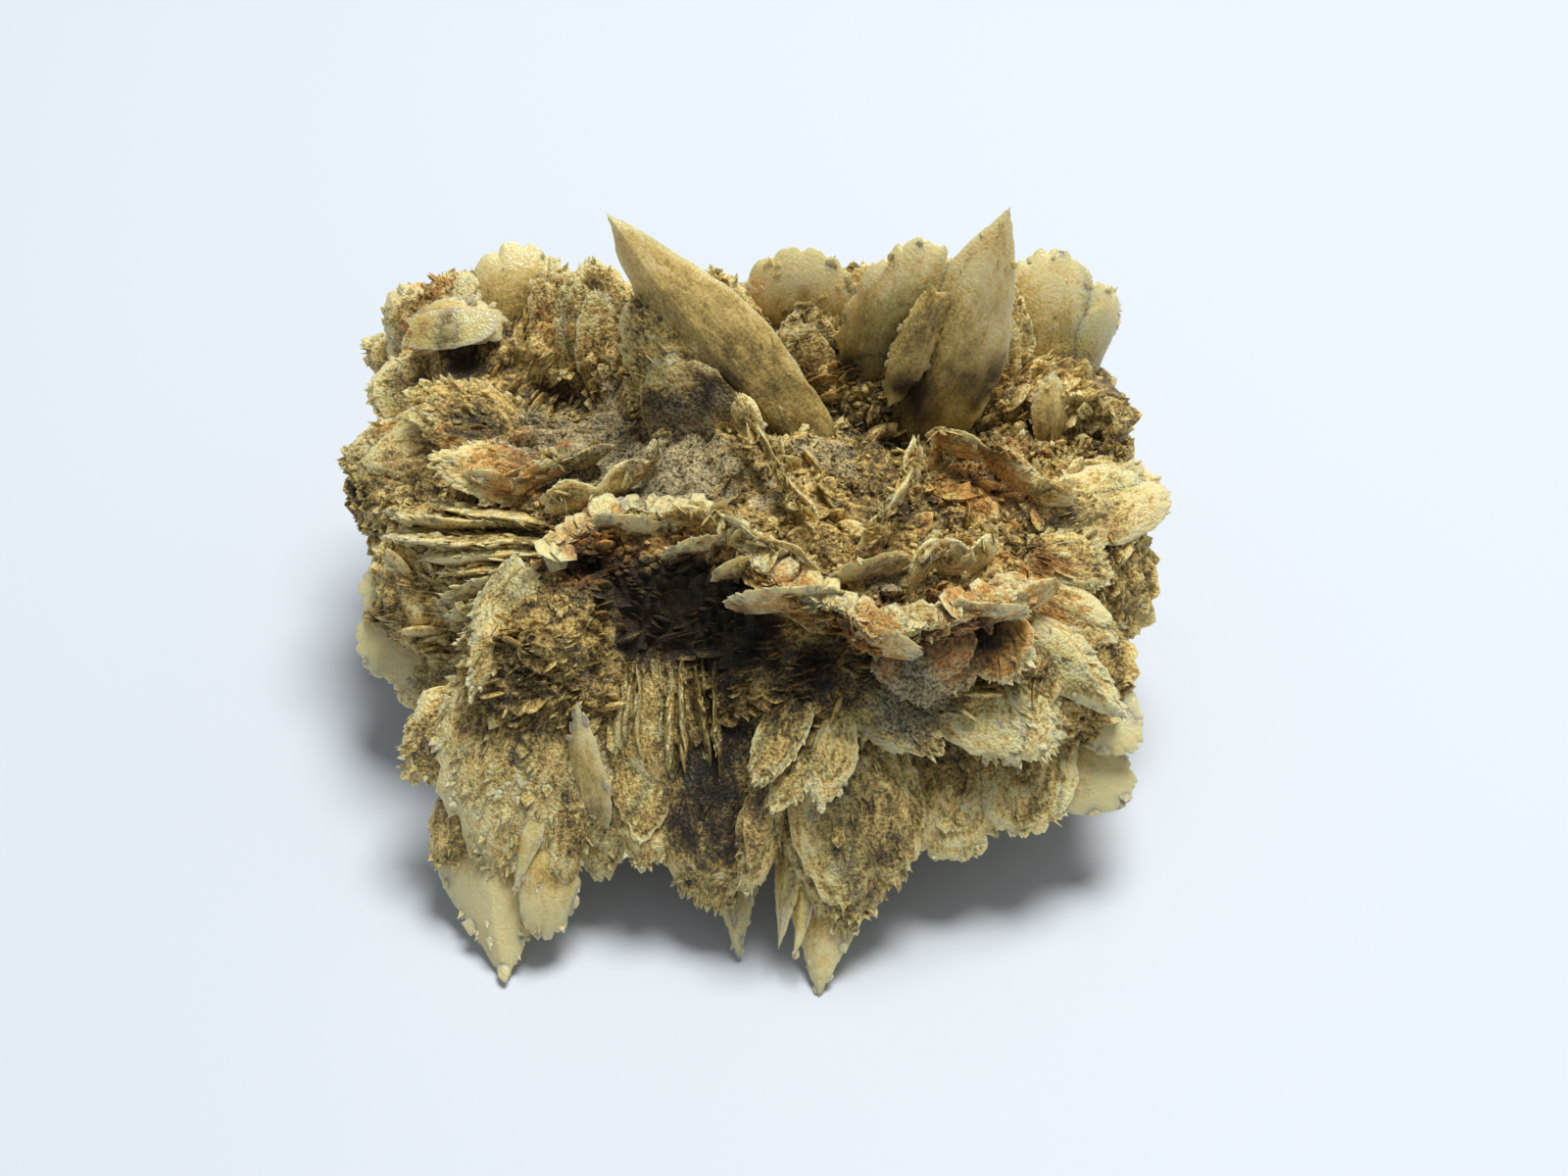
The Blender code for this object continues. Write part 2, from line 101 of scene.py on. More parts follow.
def plain_material(name, colour, roughness):
    made = bpy.data.materials.new(name)
    made.use_nodes = True
    shader = made.node_tree.nodes["Principled BSDF"]
    shader.inputs["Base Color"].default_value = colour
    shader.inputs["Roughness"].default_value = roughness
    return made


deselect()
bpy.ops.mesh.primitive_plane_add(size=TABLE_WIDTH)
table = bpy.context.active_object
table.name = "table"
table.data.materials.append(plain_material("table_white", TABLE_WHITE, TABLE_ROUGHNESS))

lamp_data = bpy.data.lights.new("lamp_above", "AREA")
lamp_data.shape = "DISK"
lamp_data.size = LAMP_SIZE
lamp_data.energy = LAMP_POWER
lamp_data.color = LAMP_WHITE
lamp = bpy.data.objects.new("lamp_above", lamp_data)
bpy.context.scene.collection.objects.link(lamp)
lamp.location = LAMP_PLACE
lamp.rotation_euler = (LAMP_AIM - LAMP_PLACE).to_track_quat("-Z", "Y").to_euler()

world = bpy.data.worlds.new("sky")
bpy.context.scene.world = world
world.use_nodes = True
world.node_tree.nodes["Background"].inputs["Color"].default_value = SKY_WHITE
world.node_tree.nodes["Background"].inputs["Strength"].default_value = SKY_STRENGTH
bpy.context.scene.view_settings.view_transform = "Standard"
print("table, lamp and sky")

# %% [markdown]
# ## Roughness in numbers
# Real crystals are never quite regular. `ripple` gives a smooth random value at every point of
# space, so a whole mesh can be pushed about at once and no two copies of a shape stay alike.

# %% Smooth random values
HASH_PRIMES = np.array((73856093, 19349663, 83492791), dtype=np.int64)
HASH_MIX = (1274126177, 1103515245)
HASH_TOP = 0x7FFFFFFF
HASH_MIDDLE = HASH_TOP // 2
SEED_STEP = 17.31


def ripple(points, size, seed=0):
    """A smooth random value from -1 to 1 at each point (N x 3, mm), with bumps about size mm wide."""
    grid = points / size + seed * SEED_STEP
    cell = np.floor(grid).astype(np.int64)
    share = grid - cell
    share = share * share * (3 - 2 * share)
    total = np.zeros(len(points))
    for corner in itertools.product((0, 1), repeat=3):
        key = ((cell + corner) * HASH_PRIMES).sum(axis=1) & HASH_TOP
        key = ((key ^ (key >> 13)) * HASH_MIX[0]) & HASH_TOP
        key = ((key ^ (key >> 16)) * HASH_MIX[1]) & HASH_TOP
        weight = np.where(corner, share, 1 - share).prod(axis=1)
        total += weight * (key / HASH_MIDDLE - 1)
    return total


# Fixed seeds give the same rose each run: rng for single crystals, grains for many at once
rng = random.Random(5)
grains = np.random.default_rng(8)
print("ripple of the origin:", round(float(ripple(np.zeros((1, 3)), 5)[0]), 3))

# %% [markdown]
# ## Master crystals
# One lens is modelled for each habit, and everything else is a copy of it. A ball with its poles
# up and down already has rings that close in on a rim. Squashed, with its outline pulled to the
# shape of the crystal, it is a lens. Round bulges and saw teeth are cut in the rim. A spear has a
# ridge along its middle. A master is one unit long, wide and thick, with its root at zero and its
# tip at one.

# %% Master crystals
# Outline as shares of length and width: widest place, narrowing power, bluntness, width at the root
FORMS = {
    "spear": (0.35, 1.25, 1.0, 0.60),
    "horn": (0.48, 1.50, 1.0, 0.65),
    "lens": (0.50, 2.00, 0.85, 0.55),
    "disc": (0.45, 2.00, 0.50, 0.70),
}
# How much of the face is two flat facets with a ridge, and how late the dome falls to the rim
RELIEF = {"spear": (0.75, 2.2), "horn": (0.65, 2.4), "lens": (0.0, 2.6), "disc": (0.0, 2.8)}
# Round bays in the rim and how deep they are, then the same of its saw teeth
RIMS = {
    "horn": (9, 0.03, 15, 0.03),
    "spear": (9, 0.03, 17, 0.07),
    "lens": (9, 0.13, 17, 0.16),
    "disc": (14, 0.14, 16, 0.05),
}


def outline(form, along):
    """Half width, as a share of the widest, at shares of the length."""
    widest, power, bluntness, root = FORMS[form]
    rising = root + (1 - root) * np.sin(np.pi / 2 * np.clip(along / widest, 0, 1))
    fall = np.clip((along - widest) / (1 - widest), 0, 1)
    falling = np.clip(1 - fall**power, 0, 1) ** bluntness
    return np.where(along < widest, rising, falling)


def face_height(form, along, side):
    """Height of a face, 1 at its middle and 0 at the rim, at shares of length and half width."""
    facet, dome = RELIEF[form]
    x = 2 * along - 1
    rim = np.sqrt(x**2 + side**2 * (1 - x**2))
    ridge = (1 - np.abs(side)) * outline(form, along)
    return (1 - facet) * (1 - rim**dome) + facet * ridge


def bulges(around, count, seed):
    """Round bulges of unequal width along the rim: 1 on top of each, less in the cut between two."""
    draw = np.random.default_rng(seed)
    cuts = (np.arange(count + 1) + draw.uniform(-0.3, 0.3, count + 1)) * 2 * np.pi / count - np.pi
    cuts[0], cuts[-1] = -np.pi, np.pi
    turn = np.interp(around, cuts, np.arange(count + 1))
    share = turn - np.floor(turn)
    depth = draw.uniform(0.25, 1, count + 1)[np.floor(turn).astype(int)]
    return 1 - depth * (1 - np.sqrt(np.clip(1 - (2 * share - 1) ** 2, 0, 1)))


def saw(around, count, seed):
    """Saw teeth of unequal depth, steep on the side of the tip: the loss from 0 to 1 at angles from 0
    at the tip to pi at the root."""
    depth = np.random.default_rng(seed).uniform(0.1, 1, count + 1)
    turn = around / np.pi * count
    number = np.floor(turn).astype(int)
    return depth[number] * (turn - number)


def mesh_numbers(mesh):
    """Corner places, corner numbers of every face in a row, and how many each face has."""
    places = np.empty(len(mesh.vertices) * 3)
    mesh.vertices.foreach_get("co", places)
    corners = np.empty(len(mesh.loops), dtype=np.int64)
    mesh.loops.foreach_get("vertex_index", corners)
    sizes = np.empty(len(mesh.polygons), dtype=np.int64)
    mesh.polygons.foreach_get("loop_total", sizes)
    return places.reshape(-1, 3), corners, sizes


def master(form, segments, rings, bays, bay_depth, teeth, tooth_depth, seed):
    """A lens one unit long, with round bays and then teeth in its rim."""
    deselect()
    bpy.ops.mesh.primitive_uv_sphere_add(segments=segments, ring_count=rings, radius=1)
    ball = bpy.context.active_object
    places, corners, sizes = mesh_numbers(ball.data)
    bpy.data.objects.remove(ball, do_unlink=True)
    x, y, z = places.T
    around = np.arctan2(y, x)
    rim = np.clip(np.sqrt(x * x + y * y), 0, 1)
    side = np.clip(y / np.sqrt(np.clip(1 - x * x, 1e-6, 1)), -1, 1)
    along = np.clip((x + 1) / 2, 0, 1)
    reach = 1 - bay_depth * (1 - bulges(around, bays, seed)) * rim**6
    reach = reach - tooth_depth * saw(np.abs(around), teeth, seed + 50) * rim**12
    return {
        "places": np.stack(
            (
                (x * reach + 1) / 2,
                side * reach * outline(form, along) / 2,
                np.sign(z) * np.where(rim > 0.999, 0, face_height(form, along, side)) / 2,
            ),
            axis=1,
        ),
        "corners": corners,
        "sizes": sizes,
        "rim": rim,
        "along": along,
        "growth": rim,
    }


def chip(count, seed):
    """A tiny blade: a ring of corners with one point above and one below."""
    draw = np.random.default_rng(seed)
    around = (np.arange(count) + draw.uniform(-0.25, 0.25, count)) * 2 * np.pi / count
    far = draw.uniform(0.75, 1.1, count)
    ring = np.stack((np.cos(around) * far, np.sin(around) * far, np.zeros(count)), axis=1)
    places = np.vstack((ring / 2, ((0, 0, 0.5), (0, 0, -0.5)))) + (0.5, 0, 0)
    faces = []
    for number in range(count):
        following = (number + 1) % count
        faces += [(number, following, count), (following, number, count + 1)]
    rim = np.append(np.ones(count), (0.5, 0.5))
    return {
        "places": places,
        "corners": np.array(faces).ravel(),
        "sizes": np.full(len(faces), 3),
        "rim": rim,
        "along": places[:, 0],
        "growth": rim,
    }


def main_masters(segments, rings, copies):
    return {
        form: [master(form, segments, rings, *rim, seed) for seed in range(copies)]
        for form, rim in RIMS.items()
    }


FINE_MASTERS = main_masters(110, 18, 3)
PLAIN_MASTERS = main_masters(60, 12, 4)
PAGE_MASTERS = main_masters(44, 8, 4)
SCALES = [master("lens", 9, 4, 5, 0.2, 5, 0.05, s) for s in range(5)]
CHIPS = [chip(5, s) for s in range(8)]
# Crystals larger than this, in square mm, get a fine master and broken steps
FINE_AREA = 240
print({habit: len(shapes[0]["sizes"]) for habit, shapes in FINE_MASTERS.items()})

# %% [markdown]
# ## A pile of crystals
# Thousands of separate objects would be slow, so copies of the masters are set side by side in one
# mesh. A `Pile` collects them. Every corner also remembers how near the rim and how deep in the root
# it is, the shade of its crystal, how clean that is, and its place along, across and out from the
# crystal's middle. The materials read these.

# %% The pile
MARKS = ("rim", "root", "shade", "clean")
CRYSTAL_SMOOTH_ANGLE = 32
CORE_SMOOTH_ANGLE = 40


def write_mark(mesh, mark, values):
    mesh.attributes.new(mark, "FLOAT", "POINT").data.foreach_set("value", values.astype(np.float32))


def write_flow(mesh, flow):
    """Place along, across and out from the middle of the crystal, in mm, for grain along its growth."""
    made = mesh.attributes.new("flow", "FLOAT_VECTOR", "POINT")
    made.data.foreach_set("vector", flow.astype(np.float32).ravel())


def dress(thing, places, marks, flow, material, angle):
    """Writes what the finishes read at each corner, adds the finish, and shades thing smooth but for
    edges sharper than angle in degrees."""
    for mark, values in {**marks, **ground_marks(places)}.items():
        write_mark(thing.data, mark, values)
    write_flow(thing.data, flow)
    thing.data.materials.append(material)
    deselect()
    thing.select_set(True)
    bpy.context.view_layer.objects.active = thing
    bpy.ops.object.shade_smooth_by_angle(angle=math.radians(angle))


class Pile:
    """Copies of master crystals that become one piece."""

    def __init__(self):
        self.places = []
        self.corners = []
        self.sizes = []
        self.marks = {mark: [] for mark in MARKS}
        self.flow = []
        self.count = 0

    def add(self, places, corners, sizes, marks, flow):
        self.places.append(places)
        self.corners.append(corners + self.count)
        self.sizes.append(sizes)
        for mark in MARKS:
            self.marks[mark].append(np.broadcast_to(marks[mark], (len(places),)))
        self.flow.append(flow)
        self.count += len(places)

    def piece(self, name, material):
        places = np.concatenate(self.places)
        corners = np.concatenate(self.corners)
        sizes = np.concatenate(self.sizes)
        starts = np.concatenate(([0], np.cumsum(sizes)[:-1]))
        mesh = bpy.data.meshes.new(name)
        mesh.vertices.add(len(places))
        mesh.vertices.foreach_set("co", (places * MM).astype(np.float32).ravel())
        mesh.loops.add(len(corners))
        mesh.loops.foreach_set("vertex_index", corners.astype(np.int32))
        mesh.polygons.add(len(sizes))
        mesh.polygons.foreach_set("loop_start", starts.astype(np.int32))
        mesh.update(calc_edges=True)
        made = bpy.data.objects.new(name, mesh)
        bpy.context.scene.collection.objects.link(made)
        marks = {mark: np.concatenate(values) for mark, values in self.marks.items()}
        dress(made, places, marks, np.concatenate(self.flow), material, CRYSTAL_SMOOTH_ANGLE)
        print(f"{name}: {int((sizes - 2).sum())} triangles")
        return made


def unit(ways):
    return ways / np.maximum(np.linalg.norm(ways, axis=-1, keepdims=True), 1e-9)


def length_of(root, tip):
    return float(np.linalg.norm(np.subtract(tip, root)))


def axes(root, tip, face):
    """Unit ways along, across and through a crystal."""
    along = unit(np.subtract(tip, root).astype(float))
    across = unit(np.cross(face, along))
    return along, across, np.cross(along, across)


def spots_on(root, ways, far, aside, height):
    """Places far along, aside across and height through from a crystal's root, all in mm."""
    along, across, through = ways
    return (
        np.array(root, dtype=float)
        + np.outer(far, along)
        + np.outer(aside, across)
        + np.outer(height, through)
    )


def set_crystal(
    pile, shape, root, tip, width, thick, face, shade, clean=0.3, bend=0.0, wobble=0.0
):
    """Sets one copy of a master in the pile, in mm. bend curves it towards its face, wobble
    roughens it, and clean is 1 for a clear crystal and 0 for one full of sand."""
    length = length_of(root, tip)
    along, across, through = axes(root, tip, face)
    u, v, w = shape["places"].T
    lift = bend * length * (u - 0.4) ** 2
    places = spots_on(root, (along, across, through), u * length, v * width, w * thick + lift)
    if wobble:
        push = ripple(places, 6, 3) * 0.55 + ripple(places, 2.2, 4) * 0.45
        places = places + np.outer(push * wobble, through)
        places = places + np.outer(ripple(places, 3.5, 7) * wobble * 0.8, across)
    marks = {
        "rim": shape["rim"],
        "root": np.clip(1.15 - shape["along"] * 1.5, 0, 1),
        "shade": shade,
        "clean": clean,
    }
    start = rng.uniform(0, 400)
    flow = np.stack((u * length + start, v * width, shape["growth"] * width / 2), axis=1)
    pile.add(places, shape["corners"], shape["sizes"], marks, flow)


def set_many(
    pile, shapes, roots, ways, faces, lengths, widths, thicks, shades, clean=0.3, rims=0.75, sunk=0.4
):
    """Sets small copies of the masters in shapes, one for each row of the given arrays. rims and
    sunk tell how near the rim and the root of the crystal that carries them they sit."""
    rims = np.broadcast_to(rims, (len(roots),))
    sunk = np.broadcast_to(sunk, (len(roots),))
    along = unit(ways)
    across = unit(np.cross(faces, along))
    through = np.cross(along, across)
    chosen = grains.integers(len(shapes), size=len(roots))
    starts = grains.uniform(0, 400, len(roots))
    for number, shape in enumerate(shapes):
        mine = np.flatnonzero(chosen == number)
        if not len(mine):
            continue
        u, v, w = (column[None, :, None] for column in shape["places"].T)
        size = [values[mine][:, None, None] for values in (lengths, widths, thicks)]
        places = (
            roots[mine][:, None, :]
            + u * size[0] * along[mine][:, None, :]
            + v * size[1] * across[mine][:, None, :]
            + w * size[2] * through[mine][:, None, :]
        )
        marks = {
            "rim": np.repeat(rims[mine], len(shape["rim"])) * (0.3 + 0.7 * np.tile(shape["rim"], len(mine))),
            "root": np.repeat(sunk[mine], len(shape["rim"])),
            "shade": np.repeat(shades[mine], len(shape["along"])),
            "clean": clean,
        }
        growth = np.broadcast_to(shape["growth"][None, :, None] * size[1] / 2, places[..., :1].shape)
        flow = np.concatenate((u * size[0] + starts[mine][:, None, None], v * size[1], growth), axis=2)
        first = np.arange(len(mine))[:, None] * len(shape["places"])
        corners = (shape["corners"][None] + first).ravel()
        sizes = np.tile(shape["sizes"], len(mine))
        pile.add(places.reshape(-1, 3), corners, sizes, marks, flow.reshape(-1, 3))


print("marks on every crystal:", MARKS)

# %% [markdown]
# ## The core
# Under the crystals lies a lumpy mass of small intergrown lenses and caught sand. The same rounded
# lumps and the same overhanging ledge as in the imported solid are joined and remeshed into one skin
# with a fine grid. Its top is pressed to a sloping table, because there the cluster was broken off.
# Everywhere else the skin is pleated: the pleats are the edges of small blades that grew side by
# side. Each belongs to the nearest of a few rosettes, whose blades all turn round one axis.

# %% The core
LUMPS = [
    ((0, 8, 24), (32, 24, 22)), ((-24, 12, 26), (20, 20, 18)), ((-34, 26, 27), (16, 14, 17)),
    ((-42, 20, 27), (9, 10, 11)), ((-38, 6, 24), (10, 10, 12)), ((28, 8, 26), (20, 18, 18)),
    ((42, 8, 27), (9, 11, 11)), ((38, 22, 28), (12, 13, 18)), ((20, 26, 30), (20, 12, 22)),
    ((-4, 27, 30), (22, 11, 23)), ((-28, 31, 32), (14, 9, 16)), ((36, -9, 23), (12, 10, 12)),
    ((-22, -8, 25), (13, 13, 14)), ((8, -10, 22), (18, 12, 15)), ((26, -8, 24), (14, 12, 13)),
    ((2, 12, 8), (24, 18, 12)),
]
LEDGE = [
    (-24, -2, 44), (-22, -5, 44), (-14, -1, 46), (-8, -4, 47), (-3, -6, 47), (1, -12, 47), (5, -16, 46),
    (11, -17, 46), (15, -21, 45), (24, -19, 45), (33, -14, 44), (35, -8, 42), (30, 2, 41), (10, 10, 44),
    (-18, 8, 43),
]
LEDGE_THICK = 9
PLATEAU_TOP = 47
PLATEAU_SLOPE = 0.12
BROKEN_SIDE = 46
BROKEN_FRONT = -22
BROKEN_BACK = 18
CORE_GRID = 0.68
LUMP_HEIGHT = 2.4
PIT_DEPTH = 3.2
PLEAT = 1.9
PLEAT_HEIGHT = 1.3
FACES_UP = 0.75
ROSETTES = [
    ((-34, 24, 24), (0.2, 1, 0.3)), ((-20, 2, 30), (1, 0.2, -0.4)), ((-26, -8, 24), (0.6, -0.4, 0.7)),
    ((0, -6, 28), (1, 0.2, 0.1)), ((16, -10, 24), (0.3, 0.8, -0.6)), ((36, -6, 22), (0.1, 1, 0.3)),
    ((40, 10, 28), (0.3, 0.7, 0.6)), ((36, 26, 30), (0.8, 0.3, 0.5)), ((12, 26, 36), (1, 0.1, 0.3)),
    ((-12, 26, 36), (0.7, 0.6, -0.2)), ((-30, 32, 34), (0.4, 0.9, 0.1)), ((0, 28, 16), (0.2, 0.3, 1)),
    ((24, 24, 16), (1, 0.4, -0.2)), ((-24, 22, 14), (0.5, 0.2, 0.9)), ((2, 8, 38), (0.9, 0.5, 0.3)),
]
HEARTS = np.array([heart for heart, axis in ROSETTES], dtype=float)
HEART_AXES = unit(np.array([axis for heart, axis in ROSETTES], dtype=float))


def plateau_level(x):
    return PLATEAU_TOP - abs(x) * PLATEAU_SLOPE


def keep_modifier(thing, kind, **settings):
    """Adds one modifier to thing and applies it."""
    modifier = thing.modifiers.new(kind.title(), kind)
    for key, value in settings.items():
        setattr(modifier, key, value)
    bpy.context.view_layer.objects.active = thing
    bpy.ops.object.modifier_apply(modifier=modifier.name)


def ledge_slab():
    """The overhanging top as a closed slab with a level underside."""
    under = PLATEAU_TOP - LEDGE_THICK
    count = len(LEDGE)
    corners = [Vector(corner) * MM for corner in LEDGE]
    corners += [Vector((x * 0.9, y * 0.8 + 1, under)) * MM for x, y, z in LEDGE]
    faces = [tuple(range(count)), tuple(range(2 * count - 1, count - 1, -1))]
    for number in range(count):
        following = (number + 1) % count
        faces.append((number, number + count, following + count, following))
    mesh = bpy.data.meshes.new("ledge_slab")
    mesh.from_pydata(corners, [], faces)
    made = bpy.data.objects.new("ledge_slab", mesh)
    bpy.context.scene.collection.objects.link(made)
    return made


def make_core():
    deselect()
    balls = []
    for middle, radii in LUMPS:
        bpy.ops.mesh.primitive_ico_sphere_add(subdivisions=3, radius=1, location=Vector(middle) * MM)
        ball = bpy.context.active_object
        ball.scale = Vector(radii) * MM
        balls.append(ball)
    balls.append(ledge_slab())
    deselect()
    for ball in balls:
        ball.select_set(True)
    bpy.context.view_layer.objects.active = balls[0]
    bpy.ops.object.transform_apply(location=True, rotation=True, scale=True)
    bpy.ops.object.join()
    core = bpy.context.active_object
    core.name = "core_crust"
    keep_modifier(core, "REMESH", mode="VOXEL", voxel_size=CORE_GRID * MM)
    return core


def places_and_normals(mesh):
    """Corner places in mm, and the way out of the skin at each."""
    normals = np.empty(len(mesh.vertices) * 3)
    mesh.vertices.foreach_get("normal", normals)
    return mesh_numbers(mesh)[0] / MM, normals.reshape(-1, 3)


def move_corners(thing, places):
    thing.data.vertices.foreach_set("co", (places * MM).astype(np.float32).ravel())
    thing.data.update()


def nearest_rosette(points):
    moved = points + np.stack([ripple(points, 9, seed) * 4 for seed in (61, 62, 63)], axis=1)
    return np.argmin(((moved[:, None, :] - HEARTS[None]) ** 2).sum(axis=2), axis=1)


def pleats(points):
    """Height of the blade edges at each point, from 0 in a gap to 1 on an edge."""
    nearest = nearest_rosette(points)
    across = ((points - HEARTS[nearest]) * HEART_AXES[nearest]).sum(axis=1)
    turn = across / PLEAT + ripple(points, 7, 64) * 1.2 + ripple(points, 2.6, 65) * 0.25
    share = turn - np.floor(turn)
    return (1 - np.abs(2 * share - 1)) ** 0.8


core = make_core()
# Lumps a few mm high
places, normals = places_and_normals(core.data)
lumpy = ripple(places, 9, 5) * 0.7 + ripple(places, 4.5, 6) * 0.4
places = places + normals * (lumpy * LUMP_HEIGHT)[:, None]
# The broken top, with pits
x, y, z = places.T
pits = np.abs(ripple(places, 4.5, 8)) + 0.6 * np.abs(ripple(places, 2.2, 9))
broken_level = plateau_level(x) - PIT_DEPTH + 2.6 * pits + 0.8 * ripple(places, 10, 10)
broken = (np.abs(x) < BROKEN_SIDE) & (y > BROKEN_FRONT) & (y < BROKEN_BACK) & (z > broken_level)
places[broken, 2] = broken_level[broken]
move_corners(core, places)
# Pleats everywhere but on what faces up
places, normals = places_and_normals(core.data)
pleated = pleats(places) * (0.75 + 0.5 * ripple(places, 3.0, 11)) - 0.4
torn = ripple(places, 2.2, 12) * 0.7 + ripple(places, 1.2, 13) * 0.5
push = np.where(normals[:, 2] > FACES_UP, torn * 0.8, pleated * PLEAT_HEIGHT + torn * 0.5)
places = places + normals * push[:, None]
places[:, 2] = np.maximum(places[:, 2], 0)
move_corners(core, places)
core_places = places_and_normals(core.data)[0]
print("core skin:", len(core.data.polygons), "faces")

# %% [markdown]
# ## Where the ground is deep, rusty or sandy
# Gaps between crystals are painted dark, partly dirt and partly painted shade, and places that stand
# out are painted lighter, a painted highlight. Space is cut into 1 mm cells, the filled ones are
# counted in a neighbourhood of each point, and a point with much around it lies deep, while one with
# little around it stands out. Rust and grey-green sand sit in patches, each given by a place, a size
# and a strength.

# %% Deep, rusty and sandy ground
RUST_PATCHES = [
    ((-18, -4, 43), 7, 1.0), ((-6, -8, 42), 7, 0.9), ((4, -15, 42), 7, 1.1), ((14, -19, 41), 8, 1.2),
    ((28, -16, 40), 8, 1.2), ((36, -10, 40), 8, 1.1), ((-28, 8, 44), 9, 0.9), ((-14, 7, 46), 5, 0.6),
    ((-42, 12, 40), 8, 0.8), ((-45, 22, 39), 8, 0.7), ((-42, 35, 45), 8, 0.9), ((-24, 30, 48), 7, 0.6),
    ((26, 4, 46), 9, 0.9), ((34, 8, 44), 9, 0.9), ((44, 2, 36), 8, 0.5), ((10, 18, 50), 6, 0.6),
    ((2, 26, 56), 5, 0.8), ((15, -9, 48), 6, 0.9), ((44, -10, 36), 7, 0.7), ((24, -22, 34), 3, 0.6),
]
SAND_PATCHES = [
    ((-22, 12, 46), 11, 1.4), ((-9, 7, 47), 10, 1.5), ((13, -3, 48), 4, 1.6), ((21, -19, 36), 8, 1.5),
    ((12, 10, 48), 8, 1.0), ((5, -13, 44), 6, 1.0), ((24, -12, 46), 5, 1.1), ((21, -21, 33), 6, 1.6),
    ((26, 14, 50), 7, 0.7), ((28, -16, 43), 4, 1.0), ((2, 2, 47), 5, 0.9), ((16, -12, 45), 4, 1.2),
]
# Dark patches. Those under the overhang of the ledge paint the shade of the hollow beneath it, painted
# shade; the others darken plates and the foot of the crown.
SHADE_AND_DIRT_PATCHES = [
    ((-19, -5, 40), 5, 1.0), ((-14, -6, 38), 6, 1.3), ((-8, -8, 37), 7, 1.6), ((-2, -12, 37), 7, 1.5),
    ((3, -17, 37), 5, 1.1), ((9, -18, 36), 5, 1.1), ((29, -15, 38), 4, 0.9), ((-13, -11, 33), 4, 1.2),
    ((7, -16, 31), 4, 0.9), ((-3, -28, 18), 9, 0.6), ((-37, 27, 45), 4, 1.1), ((-25, 19, 46), 5, 0.6),
    ((-7, 14, 50), 7, 0.7), ((8, 20, 52), 7, 0.5), ((30, 14, 49), 7, 0.8), ((20, 14, 49), 6, 0.8),
    ((13, 20, 51), 6, 0.6),
]
RUST_SEED = 21
SAND_SEED = 31
SHADE_AND_DIRT_SEED = 41
CELL = 1.0
GRID_LOW = np.array((-60, -48, -6))
GRID_CELLS = (120, 96, 86)
DEEP_REACH = 3
EDGE_REACH = 1
DEEP_FROM = 45
DEEP_TO = 95
EDGE_FROM = 0.62
EDGE_SPAN = 0.4


def cell_of(points):
    cells = np.floor((points - GRID_LOW) / CELL).astype(int)
    return tuple(np.clip(cells, 0, np.array(GRID_CELLS) - 1).T)


def lump_cells():
    """Cells whose middle lies inside the core."""
    middles = np.stack(np.indices(GRID_CELLS), axis=-1) * CELL + GRID_LOW + CELL / 2
    filled = np.zeros(GRID_CELLS)
    for middle, radii in LUMPS:
        inside = (((middles - middle) / radii) ** 2).sum(axis=-1) < 1
        low = middles[..., 2] < plateau_level(middles[..., 0]) - 2
        filled[inside & low] = 1
    return filled


filled_cells = lump_cells()


def spread(cells, reach):
    """Average of every cell with its neighbours up to reach away, twice, which is nearly round."""
    for axis in (0, 1, 2) * 2:
        total = sum(np.roll(cells, step, axis) for step in range(-reach, reach + 1))
        cells = total / (2 * reach + 1)
    return cells


def patch_mark(points, patches, seed):
    """How much of what the patches hold lies at each point, from 0 to 1, with uneven edges."""
    nearest = np.zeros(len(points))
    for middle, size, strength in patches:
        away = np.sqrt(((points - middle) ** 2).sum(axis=1))
        nearest = np.maximum(nearest, strength * np.clip(1.4 - away / size, 0, 1))
    speckle = ripple(points, 5, seed) * 0.35 + ripple(points, 1.8, seed + 1) * 0.4
    return np.clip((nearest + speckle - 0.3) * 1.4, 0, 1)


def ground_marks(points):
    """The marks that depend only on where a point lies, once every crystal is placed."""
    cells = cell_of(points)
    crowded = np.clip((crowding[cells] - deep_limits[0]) / (deep_limits[1] - deep_limits[0]), 0, 1)
    return {
        # Painted shade, partly dirt: darker where crystals crowd round a point and in the dark patches
        "crevice_shade_and_dirt": np.maximum(crowded, patch_mark(points, SHADE_AND_DIRT_PATCHES, SHADE_AND_DIRT_SEED)),
        # Painted highlight: lighter where little stands round a point
        "edge_highlight": np.clip((EDGE_FROM - closeness[cells]) / EDGE_SPAN, 0, 1),
        "rust": patch_mark(points, RUST_PATCHES, RUST_SEED),
        "sand": patch_mark(points, SAND_PATCHES, SAND_SEED),
    }


print("patches of rust, sand and dirt:", len(RUST_PATCHES), len(SAND_PATCHES), len(SHADE_AND_DIRT_PATCHES))

# %% [markdown]
# ## Growing one main crystal
# A big plate is never smooth. Its faces bear hundreds of tiny blades that point the way it grew,
# thin pages and broken steps lie on it, and teeth stand along its rim. `grow` sets the main crystal
# and dresses it with all four.

# %% Growing one main crystal
REGIONS = ("crown", "left_side", "front_left", "front_right", "right_side", "back", "ledge", "plateau")
PILES = {name: Pile() for name in REGIONS + ("clear_crystals",)}
FRONT_UP = (0, -0.67, 0.74)
CLEAN = {"horn": 0.9, "spear": 0.8, "lens": 0.2, "disc": 0.45}
# Above this share of clean, a crystal goes to the clear ones
CLEAR_FROM = 0.7
# Per square mm of a crystal's length times width, and the share of the chips on a clear one
CHIPS_PER_AREA = 0.45
STEPS_PER_AREA = 0.06
CLEAR_GRIT = 0.12


def scatter_way(amount):
    return np.array([rng.uniform(-amount, amount) for _ in range(3)])


def shaken(ways, amount):
    return unit(ways + grains.uniform(-amount, amount, ways.shape))


